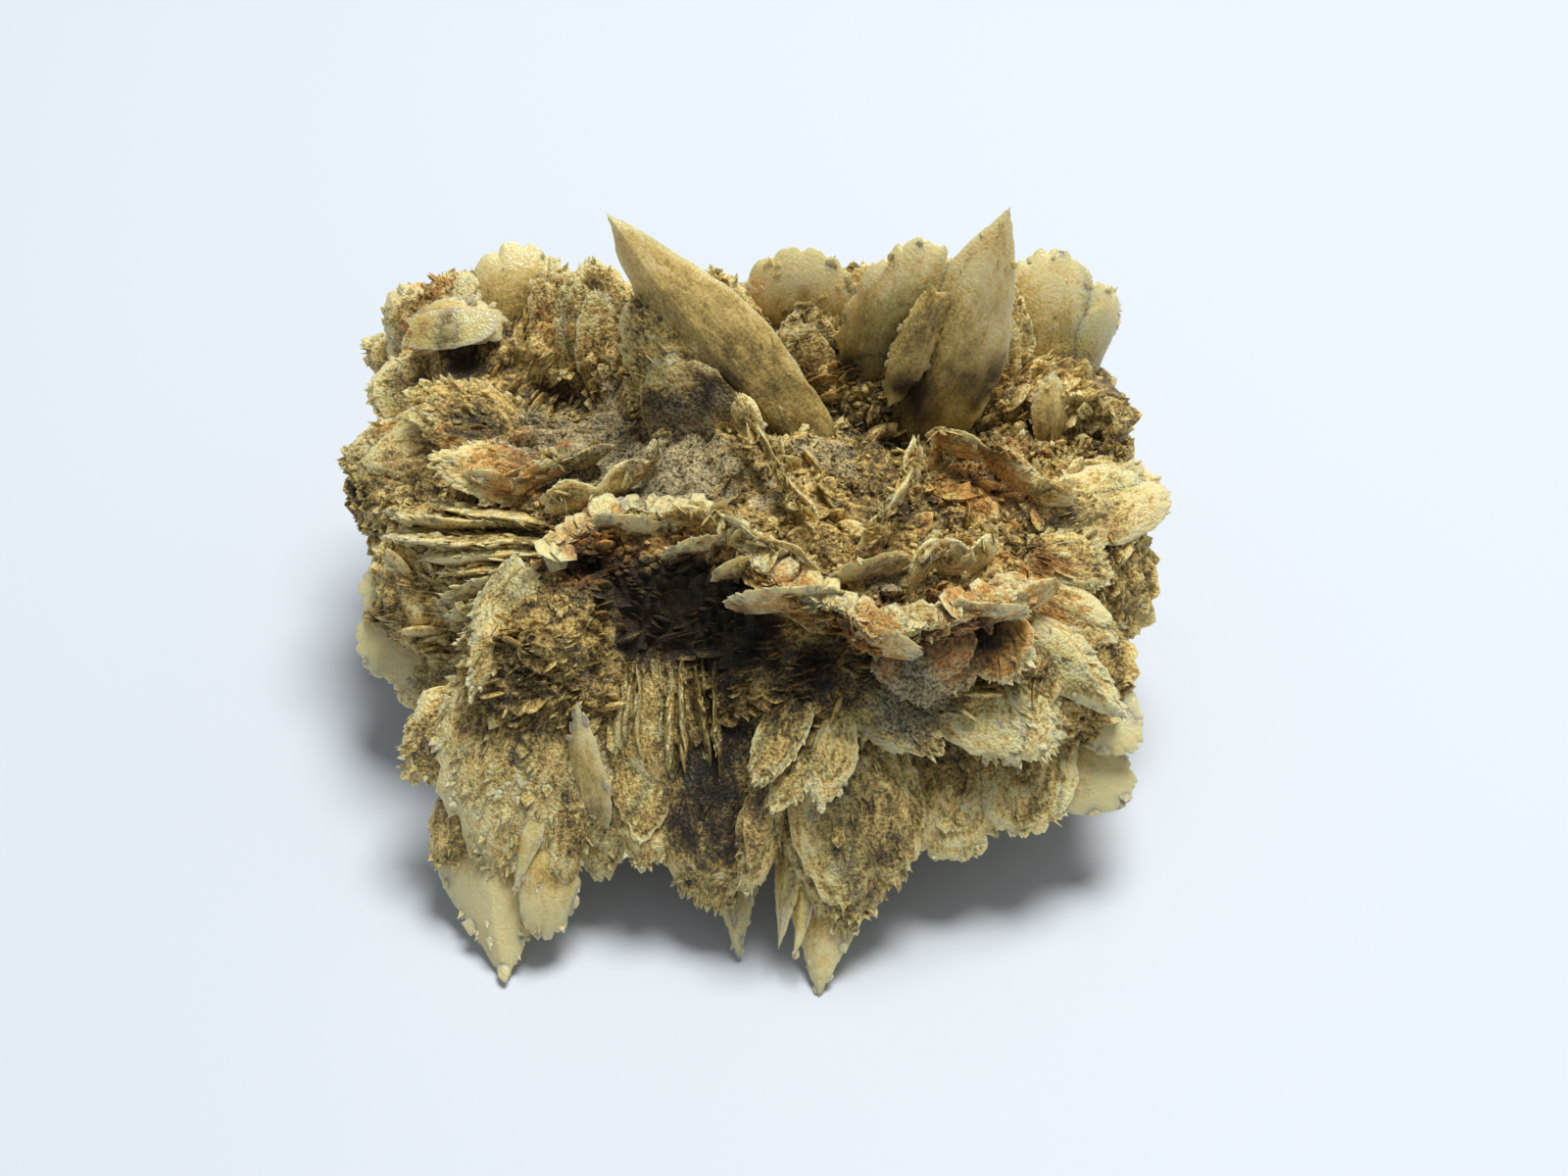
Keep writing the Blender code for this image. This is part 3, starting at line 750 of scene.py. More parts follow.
def pages(pile, form, root, tip, width, thick, face, count, shade, clean):
    """Thinner crystals at almost the same place and slant, so the rim is layered."""
    along, across, through = axes(root, tip, face)
    root = np.array(root, dtype=float)
    tip = np.array(tip, dtype=float)
    for _ in range(count):
        shift = through * rng.uniform(-0.45, 0.45) * thick + across * rng.uniform(-0.2, 0.2) * width
        short = rng.uniform(0.05, 0.28)
        set_crystal(
            pile, rng.choice(PAGE_MASTERS[form]), root + shift, tip + shift - (tip - root) * short,
            width * rng.uniform(0.6, 0.9), thick * rng.uniform(0.3, 0.5), through + scatter_way(0.16),
            shade + rng.uniform(-0.2, 0.2), clean, 0, thick * 0.1,
        )


def grit(pile, form, root, tip, width, thick, face, count, shade, clean):
    """Tiny blades on both faces. Half lie nearly flat like shingles and half stand like ribs, all
    fanned out like the growth."""
    along, across, through = axes(root, tip, face)
    share = grains.uniform(0.10, 0.96, count)
    side = grains.uniform(-0.97, 0.97, count)
    out = np.where(grains.random(count) < 0.7, 1.0, -1.0)
    half = outline(form, share) * width / 2
    height = face_height(form, share, side) * thick / 2
    outward = np.outer(out, through)
    far = share * length_of(root, tip)
    spots = spots_on(root, (along, across, through), far, side * half, out * height)
    stands = grains.random(count) < 0.5
    lean = np.where(stands, grains.uniform(0.2, 0.8, count), grains.uniform(0.1, 0.5, count))
    ways = shaken(unit(along + np.outer(side * 0.8, across) + outward * lean[:, None]), 0.15)
    faces = np.where(stands[:, None], across + 0.3 * outward, outward + np.outer(side * 0.4, across))
    lengths = grains.uniform(0.9, 3.2, count)
    radial = np.sqrt((2 * share - 1) ** 2 + side**2 * (1 - (2 * share - 1) ** 2))
    set_many(
        pile, CHIPS, spots - ways * lengths[:, None] * 0.66, ways, shaken(faces, 0.2), lengths,
        lengths * grains.uniform(0.3, 0.6, count), lengths * grains.uniform(0.08, 0.2, count),
        shade + grains.uniform(-0.5, 0.5, count), clean, radial, np.clip(1 - 1.4 * share, 0, 1),
    )


def teeth(pile, form, root, tip, width, thick, face, count, shade, clean):
    """Small blades that stick out of the rim, leaning towards the tip."""
    along, across, through = axes(root, tip, face)
    share = grains.uniform(0.25, 1.0, count)
    side = grains.choice((-1.0, 1.0), count)
    half = outline(form, share) * width / 2
    height = grains.uniform(-0.12, 0.12, count) * thick
    far = share * length_of(root, tip) * 0.97
    spots = spots_on(root, (along, across, through), far, side * half * 0.93, height)
    ways = np.outer(0.4 + share, along) + np.outer(side * (1.3 - share), across)
    ways = shaken(unit(ways), 0.2)
    lengths = grains.uniform(1.2, 3.0, count) * min(1.0, width / 9)
    faces = shaken(np.tile(through, (count, 1)), 0.3)
    set_many(
        pile, SCALES + CHIPS, spots - ways * lengths[:, None] * 0.65, ways, faces,
        lengths, lengths * grains.uniform(0.5, 0.9, count), lengths * grains.uniform(0.15, 0.3, count),
        shade + grains.uniform(-0.15, 0.15, count), clean, 0.95, 0,
    )


def steps(pile, form, root, tip, width, thick, face, count, shade, clean):
    """Angular flakes that lie on the front face with their tips free, like broken steps."""
    along, across, through = axes(root, tip, face)
    share = grains.uniform(0.2, 0.97, count)
    side = grains.uniform(-0.9, 0.9, count)
    height = face_height(form, share, side) * thick / 2 + grains.uniform(0.1, 0.8, count)
    aside = side * outline(form, share) * width / 2
    ends = spots_on(root, (along, across, through), share * length_of(root, tip), aside, height)
    ways = unit(along + np.outer(0.6 * side, across) + np.outer(grains.uniform(0.05, 0.35, count), through))
    ways = shaken(ways, 0.12)
    sizes = grains.uniform(1.8, 4.2, count)
    faces = shaken(through + np.outer(side * 0.3, across), 0.3)
    set_many(
        pile, CHIPS, ends - ways * sizes[:, None], ways, faces, sizes,
        sizes * grains.uniform(0.4, 0.8, count), sizes * grains.uniform(0.08, 0.18, count),
        shade + grains.uniform(-0.5, 0.3, count), clean, 0.6, 0.1,
    )


def grow(
    region, root, tip, width, thick, face=FRONT_UP, form="lens", layers=2, grit_share=1.0, rim_teeth=14,
    bend=0.0, clean=None, shade=None,
):
    """A main crystal with pages beside it, grit on its faces and teeth along its rim."""
    clean = CLEAN[form] if clean is None else clean
    clear = clean > CLEAR_FROM
    pile = PILES["clear_crystals" if clear else region]
    shade = rng.random() if shade is None else shade
    length = length_of(root, tip)
    big = length * width > FINE_AREA
    shape = rng.choice((FINE_MASTERS if big or clear else PLAIN_MASTERS)[form])
    rough = 0.3 if clear else 0.6
    set_crystal(pile, shape, root, tip, width, thick, face, shade, clean, bend, rough)
    body = (form, root, tip, width, thick, face)
    if clear:
        grit_share *= CLEAR_GRIT
        layers = min(layers, 1)
    pages(pile, *body, layers, shade, clean)
    grit(PILES[region], *body, int(length * width * CHIPS_PER_AREA * grit_share), shade, clean)
    if big and clean < CLEAR_FROM and region != "back":
        steps(pile, *body, int(length * width * STEPS_PER_AREA), shade, clean)
    teeth(pile, *body, rim_teeth, shade, clean)


def row_of_crystals(region, count, roots, tips, width, thick, face, **extra):
    """A comb or fan of crystals side by side, from the first root and tip to the last."""
    for number in range(count):
        share = (number + rng.uniform(-0.4, 0.4)) / (count - 1)
        root = np.array(roots[0]) * (1 - share) + np.array(roots[1]) * share + scatter_way(0.8)
        tip = np.array(tips[0]) * (1 - share) + np.array(tips[1]) * share + scatter_way(1.5)
        tip = root + (tip - root) * rng.uniform(0.72, 1.05)
        size = (width * rng.uniform(0.75, 1.1), thick * rng.uniform(0.5, 1.9))
        grow(region, root, tip, *size, face + scatter_way(0.25), **extra)


print("regions:", list(PILES))

# %% [markdown]
# ## The crown
# Along the back the crystals stand up. Two smooth horns tower over rounded lenses with scalloped
# tops, and one narrow spur leans down towards the middle.

# %% The crown
HORN_TOP = 73
REACH_LEFT = -54
REACH_RIGHT = 54
REACH_FRONT = -41.5
REACH_BACK = 41.5


def crown(*numbers, **extra):
    grow("crown", *numbers, **extra)


crown(
    (10, 13, 37), (-17, 25, HORN_TOP - 2), 13.5, 7, (-0.2, -0.8, 0.6), form="horn", rim_teeth=5, layers=0,
    bend=0.1, shade=-0.7,
)
crown((0, 13, 38), (-14, 21, 62), 16, 5, (-0.1, -0.85, 0.5), clean=0.3, shade=-0.4)
crown((2, 24, 42), (-4, 25, 62), 8, 4, (-0.2, -0.8, 0.5))
crown((20, 16, 36), (32, 23, HORN_TOP), 14, 8, (-0.2, -0.8, 0.5), form="horn", rim_teeth=5, shade=0.1)
crown((16, 21, 42), (23, 24, 67), 15, 6, (0, -0.8, 0.6), form="disc", clean=0.75)
crown((24, 20, 63), (17.5, 15, 47), 5.5, 3, (-0.3, -0.9, 0.3), clean=0.8, layers=0)
crown((7, 26, 42), (6, 28.5, 62), 17, 4.5, (0, -0.6, 0.8), form="disc", clean=0.75, shade=1.5)
crown((14, 28, 44), (15, 30, 58), 10, 4, form="disc")
crown((9, 21, 42), (7, 25, 56), 11, 2.5, (0.3, -0.8, 0.5))
crown((2, 26, 42), (1, 29, 57), 10, 5)
crown((-17, 25, 38), (-20, 33, 57), 13, 4, (0.1, -0.9, 0.4), clean=0.5, grit_share=0.5)
crown((-24, 28, 38), (-25, 36, 54), 9, 3)
crown((-35, 31, 34), (-36, 38, 50), 13, 6, (-0.3, -0.7, 0.7), form="disc", clean=0.65, shade=0.7)
crown((-30, 31, 34), (-30, 39.5, 53.5), 16, 7, (0.0, -0.75, 0.65), form="disc", clean=0.72, shade=0.1)
crown((-25, 29, 36), (-23, 36, 52), 11, 4, (0.2, -0.7, 0.6), form="disc", clean=0.65, shade=1.0)
crown((-37, 31, 34), (-40, 39, 49), 14, 5, (-0.2, -0.7, 0.7))
crown((-44, 30, 47), (-31, 30, 49), 7, 1.6, (0, -0.4, 0.9), form="disc", bend=-0.9, clean=0.78, shade=1.2)
crown((-42, 36, 32), (-52, 39, 36), 8, 4, (-0.1, -0.6, 0.8))
crown((-38, 34, 34), (-47, 40, 45), 11, 7, (-0.3, -0.6, 0.75), form="disc")
crown((36, 24, 36), (39, 33, 58), 16, 5, (0.1, -0.7, 0.7), form="disc", clean=0.75, shade=1.0)
crown((38, 26, 36), (46, 32, 53), 11, 5, (0.5, -0.7, 0.5), form="disc", clean=0.72, shade=0.9)
crown((32, 24, 38), (33, 30, 55), 9, 4, (-0.4, -0.8, 0.4), form="disc")
row_of_crystals(
    "crown", 4, ((36, 24, 44), (38, 26, 30)), ((50, 33, 45), (49, 27, 31)), 9, 2.6, (0.2, -0.5, 0.8)
)
crown((38, 15, 40), (38.5, 20, 49), 5, 2, (0.3, -0.8, 0.5), clean=0.8, layers=0)
print("crown corners:", PILES["crown"].count)

# %% [markdown]
# ## The left side
# Rusty lobes stick out at the left, a fan of thin plates seen on edge lies under them, and below
# that a few round honey-coloured lenses.

# %% The left side


def left(*numbers, **extra):
    grow("left_side", *numbers, **extra)


left((-34, 18, 38), (REACH_LEFT, 20, 32), 13, 7, (0.1, -0.4, 0.9))
left((-34, 26, 36), (-50, 29, 38), 13, 7, (0, -0.4, 0.9), form="disc")
left((-32, 14, 36), (-50, 13, 30), 12, 6, (0.1, -0.5, 0.85), form="disc")
left((-22, 8, 40), (-40, 8, 45), 9, 3, (0.1, -0.3, 0.95))
left((-26, 16, 38), (-44, 20, 45), 12, 4, (0, -0.3, 0.95))
row_of_crystals(
    "left_side", 5, ((-26, 4, 36), (-28, 0, 22)), ((-49, 15, 31), (-49, 4, 16)), 10, 2.4, (0.5, 0.6, 0.7)
)
row_of_crystals(
    "left_side", 14, ((-20, 1, 40), (-22, -6, 34)), ((-47, 10, 36), (-38, -9, 24)), 10, 1.5,
    (0.05, 0.75, 0.65), layers=0, rim_teeth=12, clean=0.45, grit_share=1.5,
)
# Painted light: this lens lies in the shadow of the left side, so its shade is set high to look lit
left((-35, 1, 20), (-51.5, 3, 17), 14, 2.4, (-0.1, -0.5, 0.85), form="disc", clean=0.85, shade=3.2, layers=0)
left((-34, 2, 24), (-51, 8, 22), 10, 2.2, (0, -0.5, 0.85), form="disc", clean=0.8, shade=1.4)
left((-32, -2, 20), (-46, -3, 12), 10, 4, (-0.2, -0.8, 0.5), form="disc")
left((-30, 8, 18), (-47, 14, 8), 14, 5, (-0.6, -0.4, 0.6))
left((-30, 18, 20), (-50, 24, 14), 15, 5, (-0.6, -0.2, 0.7))
print("left side corners:", PILES["left_side"].count)

# %% [markdown]
# ## The front slope
# The largest plates run down the front and end in spear tips on the table. Between them a comb of
# thin ribs shows many parallel plates on edge.

# %% The front slope
SIDE = (1, 0.1, 0)


def front(*numbers, **extra):
    grow("front_left" if numbers[0][0] < -1 else "front_right", *numbers, **extra)


front((-22, -7, 35), (-30.5, -31.5, 8), 26, 8, (-0.1, -0.75, 0.64), clean=0.0, shade=1.5)
# Painted light: this spear faces down, away from the lamp, so its shade is set high to look lit
front((-32, -19, 15), (-30, -39.5, 0), 18, 7, (-0.3, -0.55, 0.75), form="spear", layers=0, shade=2.7)
front((-30, -12, 26), (-43, -20, 16), 12, 4, (-0.2, -0.7, 0.65))
front((-30, -18, 19), (-39, -28, 8), 10, 4, (-0.3, -0.7, 0.6))
front((-17, -14, 31), (-17.8, -30, 8), 9.5, 4, (0.2, -0.75, 0.62), form="disc", clean=0.25)
front((-19, -26.5, 14), (-20.3, -19.5, 31.5), 7, 3.5, (-0.4, -0.75, 0.5), form="spear", layers=0, shade=1.6)
front((-25.5, -25, 19), (-28.8, -33.5, 10), 4, 2.5, (-0.5, -0.6, 0.6), form="spear", layers=0, shade=2.2)
front(
    (-24, -26, 16), (-25, -36.5, 5), 8, 3.5, (0.2, -0.65, 0.7), form="disc", clean=0.72, shade=1.4, layers=0
)
front((-20, -20, 24), (-23, -33, 9), 6, 4, (0.5, -0.7, 0.5))
front((-29.5, -11, 37), (-33.5, -19, 30), 5, 2, (0.2, -0.6, 0.7), form="spear", clean=0.65, shade=1.2)
front((-26, -5, 40), (-33, -12, 33), 8, 2, (-0.5, -0.5, 0.7), clean=0.6, shade=1.2, bend=0.2)
front((-16, -6, 39), (-23, -11, 37), 4, 1.5, (0.5, -0.3, 0.8), shade=-0.5)
row_of_crystals(
    "front_left", 10, ((-15, -11.3, 32), (-4, -13.3, 33)), ((-16, -24.2, 16), (-3, -26.2, 14)), 8, 1.2, SIDE,
    layers=0, rim_teeth=12,
)
front((-9, -9, 34), (-9, -27, 11), 20, 8, form="disc", grit_share=0.3)
front((-3, -12, 31), (-4, -34, 6), 19, 7, (0, -0.75, 0.66), shade=-0.3)
front((-2, -22, 16), (-1, -36.5, 1), 8, 5, (-0.2, -0.75, 0.6), form="spear")
front((-6, -20, 18), (-8, -32, 8), 6, 3, (-0.5, -0.7, 0.5))
front((12, -12, 31), (12, -37, 5), 18, 7, (0.1, -0.75, 0.66))
front((11, -24, 13), (9, REACH_FRONT, 0), 12, 6, (-0.25, -0.65, 0.7), form="spear", layers=0, shade=1.2)
front((7, -22, 20), (4, -38, 5), 5, 3, (-0.4, -0.7, 0.5), form="spear")
front((9, -22, 19), (6, -39, 4), 5, 3, (-0.4, -0.7, 0.5), form="spear")
front((4, -22, 25), (0, -35, 12), 6, 4, (0.3, -0.7, 0.6))
front((7, -18, 31), (1, -28, 25), 6, 2, (-0.4, -0.6, 0.7))
front((9, -20, 28), (3, -30, 22), 6, 2, (-0.3, -0.6, 0.75))
front((12, -19, 30), (9, -30, 23), 6, 2, (-0.2, -0.6, 0.75))
front((14, -20, 26), (19, -33, 10), 10, 4, (0.1, -0.75, 0.66))
front((-10, -16, 24), (-13, -31, 12), 10, 4, (0, -0.75, 0.66))
print("front corners:", PILES["front_left"].count, PILES["front_right"].count)

# %% [markdown]
# ## The right side
# Low at the right lies a shelf of glassy honey lenses, nearly flat, with rounder lobes above it.

# %% The right side


def right(*numbers, **extra):
    grow("right_side", *numbers, **extra)


right((10, -14, 33), (24, -24, 26), 9, 3, (-0.1, -0.6, 0.8))
right((24, -12, 32), (38, -23, 24), 14, 4, (0, -0.6, 0.8), clean=0.45, shade=1.2)
right((38, -10, 21), (28, -22, 17), 9, 3, (-0.2, -0.5, 0.85))
right((30, -16, 20), (49, -20, 14), 12, 3, (0.1, -0.55, 0.85), form="disc", clean=0.85, shade=1.8)
right((32, -12, 22), (36, -27, 14), 14, 4, (0.1, -0.6, 0.8), form="disc")
right((26, -12, 22), (25, -29, 11), 17, 5, (0, -0.6, 0.8), form="disc", shade=1.0)
right((34, -11, 35), (47, -19, 27), 8, 3.5, (-0.2, -0.6, 0.8), form="spear", clean=0.65, shade=1.4)
# Painted light: this lens is set lighter in place of light from the front that no lamp gives
right((36, -8, 26), (49, -18, 20), 10, 3, (0.1, -0.55, 0.85), form="disc", clean=0.8, shade=2.2)
right((34, -2, 39), (46, -3, 36), 8, 3, (0.2, -0.5, 0.85))
right((33, -6, 36), (46, -10, 31), 8, 3, (0.2, -0.4, 0.9))
right((34, 2, 40), (46, 6, 39), 7, 3, (-0.2, -0.7, 0.7))
right((36, 4, 38), (REACH_RIGHT, 14, 34), 12, 6, (0.1, -0.5, 0.85), form="disc")
right((36, 4, 36), (52, 8, 29), 9, 3, (0.1, -0.6, 0.8))
right((34, 2, 32), (50, 3, 24), 9, 4, (0.1, -0.6, 0.8))
right((34, 16, 36), (49, 21, 38), 12, 5, (0.1, -0.5, 0.85), form="disc")
right((34, 0, 24), (50, -6, 14), 13, 5, (0.5, -0.5, 0.7))
right((34, 14, 20), (52, 18, 16), 15, 5, (0.6, -0.1, 0.8))
print("right side corners:", PILES["right_side"].count)

# %% [markdown]
# ## The back
# The photograph does not show the back, so it is a guess: fans like those at the front.

# %% The back
BACK_UP = (0, 0.7, 0.7)


def behind(*numbers, **extra):
    grow("back", *numbers, layers=1, grit_share=0.6, **extra)


behind((-30, 30, 26), (-44, 40, 18), 16, 6, (-0.4, 0.7, 0.6))
behind((-24, 30, 30), (-28, REACH_BACK, 14), 16, 6, (-0.1, 0.8, 0.6))
behind((-12, 32, 34), (-14, 41, 30), 16, 5, BACK_UP, form="disc")
behind((-8, 28, 24), (-10, 40, 8), 18, 6, (0, 0.8, 0.6))
behind((4, 32, 40), (2, 40, 44), 14, 5, (0, 0.6, 0.8), form="disc")
behind((6, 30, 28), (6, REACH_BACK, 20), 18, 6, (0.1, 0.8, 0.6))
behind((8, 26, 18), (8, 38, 4), 15, 6, (0, 0.8, 0.6), form="spear")
behind((20, 30, 34), (22, 41, 34), 15, 5, (0, 0.5, 0.85), form="disc")
behind((22, 28, 26), (26, 41, 14), 17, 6, (0.2, 0.8, 0.6))
behind((32, 28, 34), (40, 39, 30), 15, 5, (0.3, 0.7, 0.6), form="disc")
behind((30, 22, 20), (44, 32, 8), 15, 6, (0.4, 0.6, 0.6))
behind((-20, 20, 18), (-34, 32, 4), 15, 6, (-0.4, 0.6, 0.6), form="spear")
print("back corners:", PILES["back"].count)

# %% [markdown]
# ## The ledge and the plateau
# The top is a rusty, crumbly table. Thin curved rims of old crystals stand on it like broken
# shells, and at the front it overhangs the slope in a lip.

# %% The ledge and the plateau
LIPS = [
    ((-5.5, -5.0, 41), (-5.4, -7.6, 47.6), 9, 1.0, (0.2, -1, 0.3)),
    ((5.2, -13.0, 40), (4.9, -15.6, 47.8), 15, 1.3, (0, -1, 0.4)),
    ((15.0, -9.5, 42), (15.0, -11.8, 48.6), 10, 1.1, (0.2, -1, 0.3)),
    ((26.5, -13.5, 38), (27.0, -16.0, 45.6), 15, 1.6, (0.1, -1, 0.4)),
    ((17.0, -18.0, 38), (17.0, -20.5, 45.5), 8, 1.4, (-0.2, -1, 0.4)),
    ((-14.0, -1.0, 40), (-14.5, -2.8, 46.6), 11, 1.4, (-0.1, -1, 0.3)),
    ((-1.5, -8.5, 41), (-0.5, -10.6, 47.2), 6, 1.1, (0.4, -1, 0.3)),
    ((33.5, -10.0, 37), (35.0, -11.5, 43.4), 9, 1.8, (0.5, -0.8, 0.3)),
]
CRESTS = [
    ((-0.7, 11.8, 52.0), (1.7, 7.9, 50.5), (4.7, 0.4, 49.5), (8.2, -3.8, 48.5)),
    ((20.7, 5.0, 52.0), (19.5, 0.3, 50.5), (17.0, -4.5, 49.5), (14.0, -8.0, 48.5)),
    ((-9.0, -3.0, 47.5), (-3.0, -4.5, 48.5), (2.0, -8.0, 48.0), (8.0, -11.5, 47.5)),
    ((-24.0, 1.0, 45.5), (-18.0, 2.0, 46.5), (-12.0, 5.0, 47.5), (-11.0, 9.0, 48.0)),
    ((20.0, -12.0, 47.5), (23.0, -8.0, 47.0), (27.0, -9.0, 46.5), (30.0, -6.0, 46.0)),
    ((-34.0, 6.0, 44.5), (-28.0, 5.0, 45.5), (-22.0, 7.0, 46.0), (-17.0, 9.0, 47.0)),
    ((24.0, 10.0, 48.0), (30.0, 8.0, 47.0), (36.0, 4.0, 45.0), (40.0, 4.0, 43.0)),
]
# Distance between blades in mm, and over how many of them the lip's turns are evened out
LIP_STEP = 0.16
CREST_STEP = 0.3
LIP_EVENED = 25


def along_line(line, step):
    """Places every step mm along a line of points."""
    runs = np.append(0, np.cumsum(np.linalg.norm(np.diff(line, axis=0), axis=1)))
    along = np.arange(0, runs[-1], step)
    return np.stack([np.interp(along, runs, line[:, axis]) for axis in range(3)], axis=1)


def crest(points):
    """A thin torn wall along a line of points, made of small blades that stand on edge."""
    points = np.array(points)
    spots = along_line(points, CREST_STEP)
    count = len(spots)
    spots = spots + np.outer(ripple(spots, 4, 81), (1.2, 0.8, 0)) + grains.uniform(-0.6, 0.6, spots.shape)
    for start, end in zip(points, points[1:]):
        reach = (end - start) * 0.2
        drop = np.array((0, 0, rng.uniform(0.8, 1.6)))
        set_crystal(
            PILES["plateau"], rng.choice(PLAIN_MASTERS["lens"]), start - reach - drop, end + reach - drop,
            rng.uniform(4.0, 6.0), rng.uniform(0.9, 1.5), np.cross(reach, (0, 0, 1)) + scatter_way(0.4),
            rng.uniform(0.5, 1.3), 0.5, 0, 0.9,
        )
    run = unit(np.gradient(spots, axis=0))
    lengths = grains.uniform(1.8, 4.0, count) * (0.8 + 0.4 * ripple(spots, 3, 82))
    ways = shaken(unit(run * grains.choice((-1.0, 1.0), (count, 1)) + (0, 0, 0.5)), 0.35)
    faces = shaken(np.cross(run, (0.0, 0.0, 1.0)), 0.6)
    set_many(
        PILES["plateau"], SCALES + CHIPS, spots - ways * lengths[:, None] * 0.7, ways, faces, lengths,
        lengths * grains.uniform(0.4, 0.8, count), lengths * grains.uniform(0.1, 0.2, count),
        grains.uniform(-0.2, 1.1, count), 0.5, 0.9, 0,
    )


def lip(line):
    """A crust of pale blades along the front edge of the ledge, reaching outwards."""
    spots = along_line(np.array(line, dtype=float), LIP_STEP)
    count = len(spots)
    even = np.ones(LIP_EVENED) / LIP_EVENED
    run = np.gradient(np.stack([np.convolve(column, even, "same") for column in spots.T], axis=1), axis=0)
    outward = unit(np.cross(run, (0.0, 0.0, 1.0)))
    up = np.outer(grains.uniform(-0.5, 0.7, count), (0, 0, 1))
    ways = shaken(unit(outward + up), 0.35)
    lengths = 1.6 + 3.2 * grains.random(count) ** 2
    tops = spots + ways * (0.9 * ripple(spots, 4, 72) - 0.3)[:, None] + up * 1.4 - (0, 0, 1.2)
    faces = shaken(np.tile((0, -0.3, 1.0), (count, 1)), 0.5)
    set_many(
        PILES["ledge"], SCALES, tops - ways * lengths[:, None], ways, faces,
        lengths, lengths * grains.uniform(0.5, 1.0, count), lengths * grains.uniform(0.1, 0.25, count),
        grains.uniform(0.7, 2.3, count), 0.65, 0.9, 0,
    )


for root, tip, width, thick, face in LIPS:
    grow("ledge", root, tip, width, thick, face, "disc", layers=0, grit_share=0.6, clean=0.65, shade=2.9)
for line in CRESTS:
    crest(line)
lip(LEDGE[:12])
grow("ledge", (22, -13, 41), (21, -21.5, 32.5), 14, 4, (0, -0.85, 0.5), clean=0.0)
grow("ledge", (30, -12, 39), (31, -19.5, 34), 10, 3, (0.1, -0.8, 0.6), clean=0.3)
print("ledge corners:", PILES["ledge"].count)

# %% [markdown]
# ## Small crystals all over the core
# Small lenses stand on the core's pleats like pages of a book, pointing away from the heart of
# their rosette. Between them and on the broken top lies a crust of crumbs that point every way.

# %% Small crystals all over the core
# The broken top from front to back, and how far below its level the crumbs still count as on it
CRUMBS_FRONT = -24
CRUMBS_BACK = 19
CRUMBS_DEPTH = 6
# Where one region ends and the next begins, in mm
LEFT_SIDE_TO = -26
FRONT_LEFT_TO = -5
RIGHT_SIDE_FROM = 24
CROWN_BEHIND = 14
CROWN_ABOVE = 46
BACK_BEHIND = 24
BACK_BELOW = 44


def skin_spots(count):
    """Random places on the core, spread evenly over its area, with the skin's normal there."""
    faces = len(core.data.polygons)
    areas = np.empty(faces)
    core.data.polygons.foreach_get("area", areas)
    middles = np.empty(faces * 3)
    core.data.polygons.foreach_get("center", middles)
    ways = np.empty(faces * 3)
    core.data.polygons.foreach_get("normal", ways)
    chosen = grains.choice(faces, count, p=areas / areas.sum())
    return middles.reshape(-1, 3)[chosen] / MM, ways.reshape(-1, 3)[chosen]


def on_plateau(spots):
    x, y, z = spots.T
    return (y > CRUMBS_FRONT) & (y < CRUMBS_BACK) & (z > plateau_level(x) - CRUMBS_DEPTH)


def regions_of(spots):
    """The name of the region that each spot lies in."""
    x, y, z = spots.T
    names = np.where(x < FRONT_LEFT_TO, "front_left", "front_right")
    names = np.where(x > RIGHT_SIDE_FROM, "right_side", names)
    names = np.where(x < LEFT_SIDE_TO, "left_side", names)
    names = np.where((z > CROWN_ABOVE) & (y > CROWN_BEHIND), "crown", names)
    return np.where((y > BACK_BEHIND) & (z < BACK_BELOW), "back", names)


def cover_core(shapes, count, sizes, stand):
    """Small crystals rooted in the core. stand is the share of each that sticks out of the skin."""
    spots, normals = skin_spots(count)
    keep = ~on_plateau(spots) | (normals[:, 2] < 0.4)
    spots, normals = spots[keep], normals[keep]
    nearest = nearest_rosette(spots)
    outward = unit(spots - HEARTS[nearest])
    ways = shaken(unit(outward + normals * 0.7), 0.3)
    faces = shaken(unit(np.cross(ways, HEART_AXES[nearest])), 0.3)
    lengths = grains.uniform(*sizes, len(spots))
    tips = spots + ways * (lengths * stand)[:, None]
    keep = tips[:, 2] > 0.6
    names = regions_of(spots)
    for region in REGIONS:
        mine = keep & (names == region)
        size = lengths[mine]
        set_many(
            PILES[region], shapes, (tips - ways * lengths[:, None])[mine], ways[mine], faces[mine], size,
            size * grains.uniform(0.5, 0.95, len(size)), size * grains.uniform(0.12, 0.24, len(size)),
            grains.random(len(size)), 0.2,
        )


def crumble(shapes, count, sizes, flatness):
    """Crumbs lying every way on the broken top."""
    spots, normals = skin_spots(count * 4)
    sandy = patch_mark(spots, SAND_PATCHES, SAND_SEED) > 0.5
    bare = sandy & (grains.random(len(spots)) < 0.8)
    keep = np.flatnonzero(on_plateau(spots) & (normals[:, 2] > -0.3) & ~bare)[:count]
    spots, normals = spots[keep], normals[keep]
    ways = shaken(normals * grains.uniform(0, 0.8, (len(spots), 1)), 0.8)
    faces = shaken(normals, 0.9)
    lengths = sizes[0] + (sizes[1] - sizes[0]) * grains.random(len(spots)) ** 2
    middles = spots + normals * (lengths * 0.15)[:, None]
    set_many(
        PILES["plateau"], shapes, middles - ways * (lengths / 2)[:, None], ways, faces, lengths,
        lengths * grains.uniform(0.5, 0.9, len(spots)), lengths * grains.uniform(*flatness, len(spots)),
        grains.uniform(-0.6, 1.6, len(spots)), 0.2, 0.7,
    )
    return len(spots)


cover_core(SCALES, 1300, (3.5, 7.0), 0.35)
cover_core(CHIPS, 9000, (1.4, 3.2), 0.4)
print("crumbs:", crumble(SCALES, 450, (1.6, 5.0), (0.2, 0.4)))
print("grains:", crumble(CHIPS, 5000, (0.7, 2.0), (0.35, 0.8)))
print({name: pile.count for name, pile in PILES.items()})

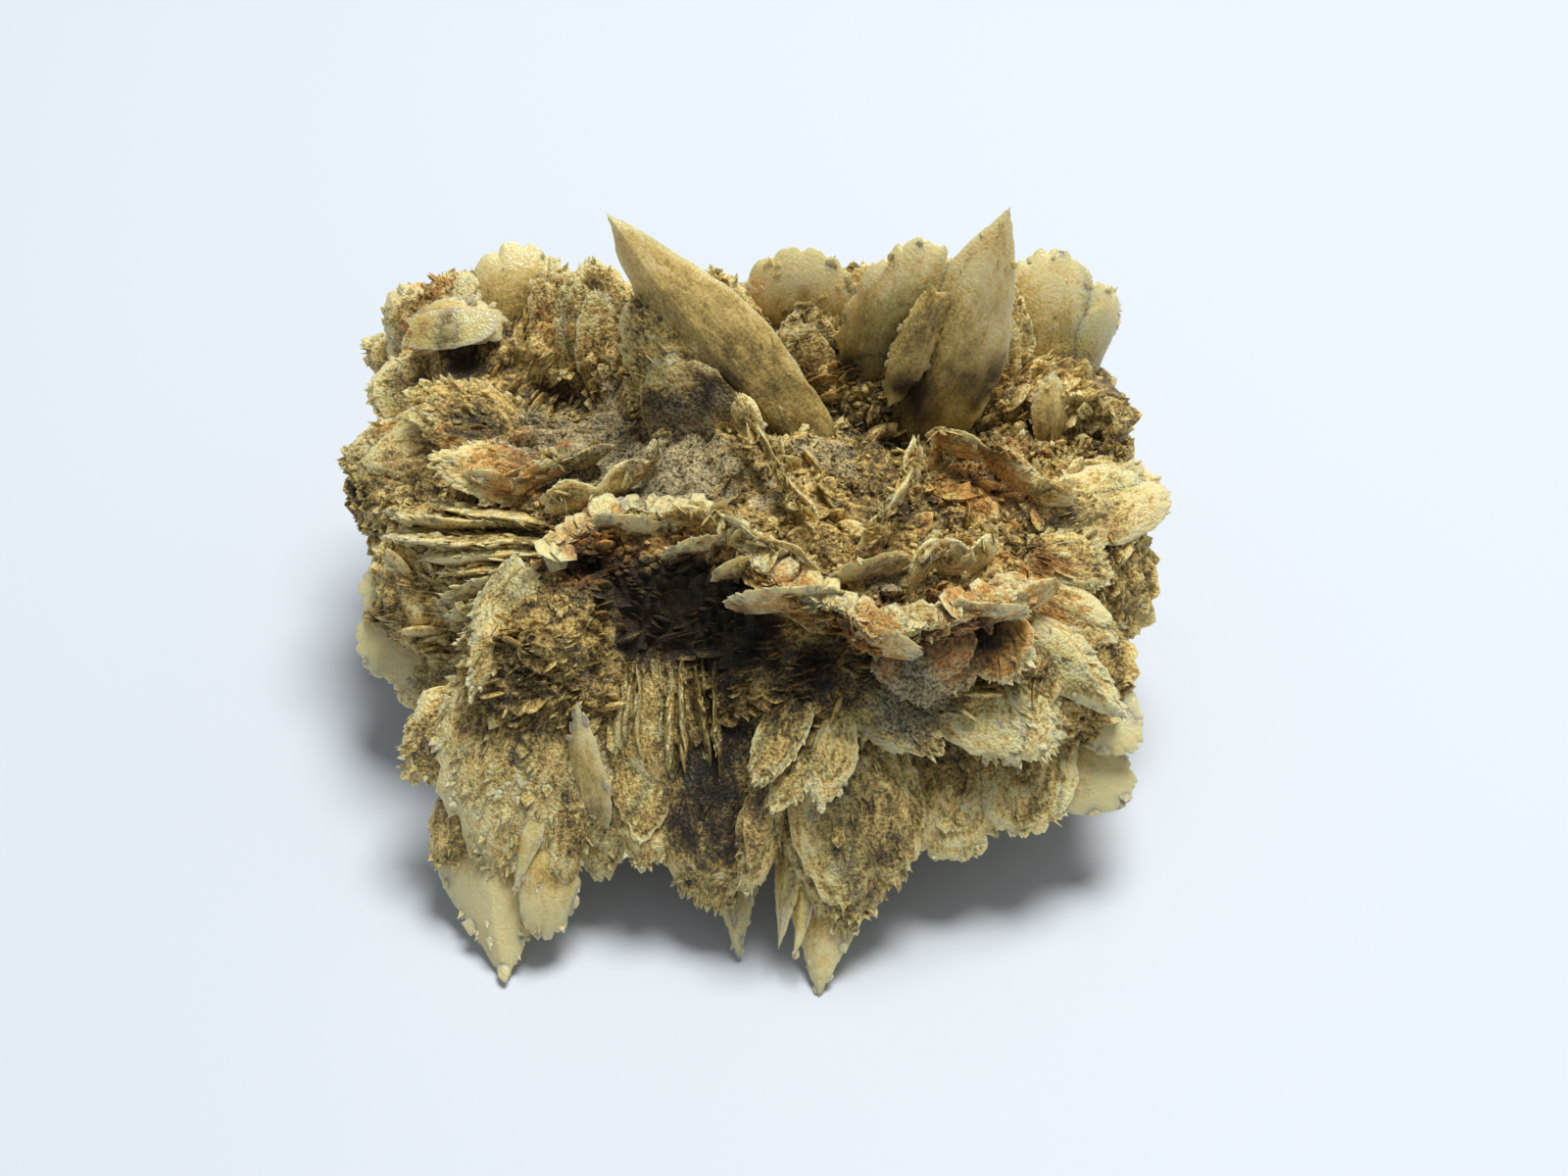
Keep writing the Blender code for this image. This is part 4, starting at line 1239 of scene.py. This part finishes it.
# %% [markdown]
# ## How crowded each place is
# Every crystal is placed now, so the cells of space can be filled and averaged, widely to find the
# deep ground and closely to find the edges. The limits of deep ground are the values that 45 and 95
# of every 100 corners stay under.

# %% Crowding
for pile in PILES.values():
    filled_cells[cell_of(np.concatenate(pile.places))] = 1
filled_cells[cell_of(core_places)] = 1
crowding = spread(filled_cells, DEEP_REACH)
closeness = spread(filled_cells, EDGE_REACH)
every_corner = np.concatenate([np.concatenate(pile.places) for pile in PILES.values()] + [core_places])
deep_limits = np.percentile(crowding[cell_of(every_corner)], (DEEP_FROM, DEEP_TO))
print("deep ground lies between", deep_limits.round(2))

# %% [markdown]
# ## Shared effects
# Three node groups serve every finish. `mottle` gives the light and dark grain of sandy gypsum at
# three sizes. `striae` gives the fine lines that run along each crystal and the growth lines that
# follow its outline, and reads the flow that every crystal carries. `torn` turns a soft mask into
# one with a ragged edge.

# %% Shared effects


def new_group(name, inputs, outputs):
    group = bpy.data.node_groups.new(name, "ShaderNodeTree")
    for label, value in inputs.items():
        socket = group.interface.new_socket(name=label, in_out="INPUT", socket_type="NodeSocketFloat")
        socket.default_value = value
    for label in outputs:
        group.interface.new_socket(name=label, in_out="OUTPUT", socket_type="NodeSocketFloat")
    return group, group.nodes.new("NodeGroupInput"), group.nodes.new("NodeGroupOutput")


def noise_node(tree, size_mm, detail=3.0, roughness=0.55, warp=0.0, vector=None):
    """Noise with features about size_mm wide, on Object coordinates unless vector is given in mm."""
    made = tree.nodes.new("ShaderNodeTexNoise")
    made.inputs["Scale"].default_value = 1 / size_mm if vector else 1 / (size_mm * MM)
    made.inputs["Detail"].default_value = detail
    made.inputs["Roughness"].default_value = roughness
    made.inputs["Distortion"].default_value = warp
    if vector is None:
        vector = tree.nodes.new("ShaderNodeTexCoord").outputs["Object"]
    tree.links.new(vector, made.inputs["Vector"])
    return made.outputs["Fac"]


def math_node(tree, operation, a, b=None, clamp=False):
    made = tree.nodes.new("ShaderNodeMath")
    made.operation = operation
    made.use_clamp = clamp
    for number, value in enumerate((a, b)):
        if isinstance(value, bpy.types.NodeSocket):
            tree.links.new(value, made.inputs[number])
        elif value is not None:
            made.inputs[number].default_value = value
    return made.outputs[0]


def total(tree, *terms):
    """Sum of masks, each given as a socket and its weight."""
    result = None
    for socket, weight in terms:
        part = math_node(tree, "MULTIPLY", socket, weight)
        result = part if result is None else math_node(tree, "ADD", result, part)
    return result


def between(tree, value, low, high, to_low=0.0, to_high=1.0):
    made = tree.nodes.new("ShaderNodeMapRange")
    made.inputs["From Min"].default_value = low
    made.inputs["From Max"].default_value = high
    made.inputs["To Min"].default_value = to_low
    made.inputs["To Max"].default_value = to_high
    tree.links.new(value, made.inputs["Value"])
    return made.outputs["Result"]


def make_mottle():
    group, _, out = new_group("mottle", {}, ("Broad", "Middle", "Fine", "Specks"))
    fine = noise_node(group, 0.42, 2, 0.6)
    group.links.new(between(group, noise_node(group, 11, 3, 0.6, 0.4), 0.32, 0.68), out.inputs["Broad"])
    group.links.new(between(group, noise_node(group, 2.2, 4, 0.7, 0.3), 0.30, 0.70), out.inputs["Middle"])
    group.links.new(between(group, fine, 0.28, 0.72), out.inputs["Fine"])
    group.links.new(between(group, noise_node(group, 0.7, 1, 0.5), 0.66, 0.72), out.inputs["Specks"])
    return group


def make_striae():
    group, _, out = new_group("striae", {}, ("Lines", "Growth"))
    flow = group.nodes.new("ShaderNodeAttribute")
    flow.attribute_name = "flow"
    stretch = group.nodes.new("ShaderNodeMapping")
    stretch.inputs["Scale"].default_value = (0.36, 1.5, 0.4)
    group.links.new(flow.outputs["Vector"], stretch.inputs["Vector"])
    lines = noise_node(group, 1.3, 4, 0.7, 0.45, stretch.outputs["Vector"])
    ring = group.nodes.new("ShaderNodeMapping")
    ring.inputs["Scale"].default_value = (0.05, 0.05, 1.0)
    group.links.new(flow.outputs["Vector"], ring.inputs["Vector"])
    growth = noise_node(group, 0.8, 2, 0.6, 0.1, ring.outputs["Vector"])
    group.links.new(between(group, lines, 0.3, 0.7), out.inputs["Lines"])
    group.links.new(between(group, growth, 0.35, 0.65), out.inputs["Growth"])
    return group


def make_torn():
    group, given, out = new_group("torn", {"Mask": 0.0, "Sharpness": 3.0}, ("Mask",))
    torn = math_node(group, "SUBTRACT", noise_node(group, 1.0, 5, 0.8, 0.3), 0.5)
    moved = math_node(group, "ADD", given.outputs["Mask"], math_node(group, "MULTIPLY", torn, 2.4))
    centred = math_node(group, "SUBTRACT", moved, 0.55)
    sharp = math_node(group, "MULTIPLY", centred, given.outputs["Sharpness"])
    group.links.new(math_node(group, "ADD", sharp, 0.5, clamp=True), out.inputs["Mask"])
    return group


EFFECTS = {"mottle": make_mottle(), "striae": make_striae(), "torn": make_torn()}
print("effects:", list(EFFECTS))

# %% [markdown]
# ## Selenite
# The colour runs from the grey-brown of sand caught in the crystal, through olive and honey, to the
# pale yellow of thin rims. Grain, striae, the rim and the root all move it up and down that scale.
# Rust and grey-green sand cover the marked patches. Deep gaps are painted nearly black, partly dirt and
# partly painted shade, and places that stand out are painted lighter, a painted highlight. Light goes a
# few millimetres into the crystal, and the clear ones also let some straight through.

# %% Selenite
# Where each tone lies on the scale from dark sand to thin rim
SANDY_TONES = (
    (0.00, (0.024, 0.017, 0.007, 1)),
    (0.20, (0.095, 0.066, 0.023, 1)),
    (0.38, (0.245, 0.164, 0.048, 1)),
    (0.58, (0.500, 0.342, 0.098, 1)),
    (0.78, (0.800, 0.580, 0.200, 1)),
    (1.00, (0.950, 0.790, 0.400, 1)),
)
CLEAR_TONES = (
    (0.00, (0.110, 0.074, 0.022, 1)),
    (0.35, (0.400, 0.285, 0.082, 1)),
    (0.70, (0.790, 0.585, 0.195, 1)),
    (1.00, (0.990, 0.815, 0.420, 1)),
)
SAND_DARK = (0.062, 0.050, 0.024, 1)
SAND_LIGHT = (0.600, 0.510, 0.290, 1)
RUST_DARK = (0.075, 0.025, 0.007, 1)
RUST_LIGHT = (0.620, 0.275, 0.045, 1)
# Near-black of crowded gaps and dark patches: painted shade, partly dirt
SHADE_AND_DIRT = (0.021, 0.011, 0.003, 1)
# How much of the crystal's own colour each cover hides
SAND_COVER = 0.85
RUST_COVER = 0.8
SHADE_AND_DIRT_COVER = 0.92
# What the grain comes to on average, and the surface, clear or dull
MEAN_GRAIN = 0.79
DULL_ROUGHNESS = 0.85
GLINT = 0.36
RELIEF_DEPTH = 0.5 * MM
GYPSUM_IOR = 1.52
# Light that goes in and comes out again, and how far each colour goes
GLOW = 0.55
GLOW_COLOUR = (1.0, 0.68, 0.30)


class Finish:
    """A material and the small helpers to wire it."""

    def __init__(self, name):
        self.material = bpy.data.materials.new(name)
        self.material.use_nodes = True
        self.tree = self.material.node_tree
        self.shader = self.tree.nodes["Principled BSDF"]

    def mark(self, name):
        made = self.tree.nodes.new("ShaderNodeAttribute")
        made.attribute_name = name
        return made.outputs["Fac"]

    def effect(self, name):
        made = self.tree.nodes.new("ShaderNodeGroup")
        made.node_tree = EFFECTS[name]
        return made

    def mix(self, share, a, b):
        """A mix of two colours, which are sockets 6 and 7 of a Mix node."""
        made = self.tree.nodes.new("ShaderNodeMix")
        made.data_type = "RGBA"
        for socket, value in ((made.inputs[0], share), (made.inputs[6], a), (made.inputs[7], b)):
            if isinstance(value, bpy.types.NodeSocket):
                self.tree.links.new(value, socket)
            else:
                socket.default_value = value
        return made.outputs[2]

    def tones(self, value, scale):
        made = self.tree.nodes.new("ShaderNodeValToRGB")
        ramp = made.color_ramp
        for number, (place, colour) in enumerate(scale):
            stop = ramp.elements[number] if number < 2 else ramp.elements.new(place)
            stop.position = place
            stop.color = colour
        self.tree.links.new(value, made.inputs["Fac"])
        return made.outputs["Color"]

    def torn(self, mask, sharpness):
        made = self.effect("torn")
        self.tree.links.new(mask, made.inputs["Mask"])
        made.inputs["Sharpness"].default_value = sharpness
        return made.outputs["Mask"]


def selenite(
    name, tones, light_depth, clearness, base_roughness, relief_strength, base_tone, contrast, root_tone
):
    """A selenite finish. base_tone is its place on the tone scale, root_tone moves the roots along
    it, contrast scales the grain, and light goes light_depth mm into the crystal."""
    finish = Finish(name)
    tree = finish.tree
    mottle = finish.effect("mottle")
    striae = finish.effect("striae")
    crevice_shade_and_dirt = finish.mark("crevice_shade_and_dirt")
    thin_rim = math_node(tree, "POWER", finish.mark("rim"), 10)
    wide_rim = math_node(tree, "POWER", finish.mark("rim"), 2.5)
    grain = total(
        tree,
        (mottle.outputs["Broad"], 0.34),
        (mottle.outputs["Middle"], 0.30),
        (mottle.outputs["Fine"], 0.40),
        (striae.outputs["Lines"], 0.34),
        (striae.outputs["Growth"], 0.20),
    )
    grain = math_node(tree, "MULTIPLY", math_node(tree, "SUBTRACT", grain, MEAN_GRAIN), contrast)
    tone = total(
        tree,
        (grain, 1.0),
        (thin_rim, 0.28),
        (wide_rim, 0.26),
        # Painted highlight: places that stand out raise the tone
        (finish.mark("edge_highlight"), 0.26),
        (finish.mark("clean"), 0.20),
        (finish.mark("shade"), 0.20),
        (finish.mark("root"), root_tone),
        # Painted shade: crowded gaps and dark patches lower the tone
        (crevice_shade_and_dirt, -0.30),
    )
    tone = math_node(tree, "ADD", tone, base_tone, clamp=True)
    colour = finish.tones(tone, tones)
    bare = total(tree, (finish.mark("sand"), 1.0), (finish.mark("clean"), -0.6))
    sand = finish.torn(bare, 3.0)
    pepper = total(tree, (mottle.outputs["Fine"], 0.7), (mottle.outputs["Middle"], 0.3))
    sand_colour = finish.mix(between(tree, pepper, 0.25, 0.75), SAND_DARK, SAND_LIGHT)
    colour = finish.mix(math_node(tree, "MULTIPLY", sand, SAND_COVER), colour, sand_colour)
    stain = total(tree, (finish.mark("rust"), 0.9), (thin_rim, -0.3), (finish.mark("clean"), -0.25))
    rust = finish.torn(stain, 2.5)
    rust_colour = finish.mix(tone, RUST_DARK, RUST_LIGHT)
    colour = finish.mix(math_node(tree, "MULTIPLY", rust, RUST_COVER), colour, rust_colour)
    # Painted shade, partly dirt: crowded gaps and dark patches turn nearly black
    painted_shade_and_dirt_mask = math_node(tree, "POWER", crevice_shade_and_dirt, 1.5)
    colour = finish.mix(math_node(tree, "MULTIPLY", painted_shade_and_dirt_mask, SHADE_AND_DIRT_COVER), colour, SHADE_AND_DIRT)
    tree.links.new(colour, finish.shader.inputs["Base Color"])
    dull = math_node(tree, "MAXIMUM", math_node(tree, "MAXIMUM", rust, sand), painted_shade_and_dirt_mask)
    rough = between(tree, dull, 0, 1, base_roughness, DULL_ROUGHNESS)
    shine = math_node(tree, "MULTIPLY", mottle.outputs["Specks"], GLINT)
    tree.links.new(math_node(tree, "SUBTRACT", rough, shine), finish.shader.inputs["Roughness"])
    relief = tree.nodes.new("ShaderNodeBump")
    relief.inputs["Strength"].default_value = relief_strength
    relief.inputs["Distance"].default_value = RELIEF_DEPTH
    height = total(
        tree,
        (mottle.outputs["Middle"], 0.3),
        (mottle.outputs["Fine"], 0.7),
        (striae.outputs["Lines"], 0.7),
        (striae.outputs["Growth"], 0.3),
    )
    tree.links.new(height, relief.inputs["Height"])
    tree.links.new(relief.outputs["Normal"], finish.shader.inputs["Normal"])
    finish.shader.inputs["IOR"].default_value = GYPSUM_IOR
    finish.shader.inputs["Subsurface Weight"].default_value = GLOW
    finish.shader.inputs["Subsurface Radius"].default_value = GLOW_COLOUR
    finish.shader.inputs["Subsurface Scale"].default_value = light_depth * MM
    finish.shader.inputs["Transmission Weight"].default_value = clearness
    return finish.material


SELENITE = selenite(
    "sandy_selenite", SANDY_TONES, light_depth=1.0, clearness=0.0, base_roughness=0.42,
    relief_strength=0.8, base_tone=0.44, contrast=1.35, root_tone=-0.24,
)
CLEAR_SELENITE = selenite(
    "clear_selenite", CLEAR_TONES, light_depth=2.0, clearness=0.22, base_roughness=0.22,
    relief_strength=0.35, base_tone=0.38, contrast=0.85, root_tone=-0.45,
)
print("finishes:", SELENITE.name, CLEAR_SELENITE.name)

# %% [markdown]
# ## Pieces
# Each region's pile becomes one piece. The core gets the same marks, so its crust takes the same
# finish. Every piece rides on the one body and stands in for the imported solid.

# %% Pieces
pieces = []
for name, pile in PILES.items():
    finish = CLEAR_SELENITE if name == "clear_crystals" else SELENITE
    pieces.append(pile.piece(name, finish))
CORE_MARKS = {"rim": 0.1, "root": 0.45, "shade": 0.5, "clean": 0.2}
core_marks = {mark: np.full(len(core_places), value) for mark, value in CORE_MARKS.items()}
dress(core, core_places, core_marks, core_places, SELENITE, CORE_SMOOTH_ANGLE)
print("core_crust:", sum(len(polygon.vertices) - 2 for polygon in core.data.polygons), "triangles")
pieces.append(core)
for piece in pieces:
    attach(piece, "root")
    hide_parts(NODE)
print("pieces:", [piece.name for piece in pieces])
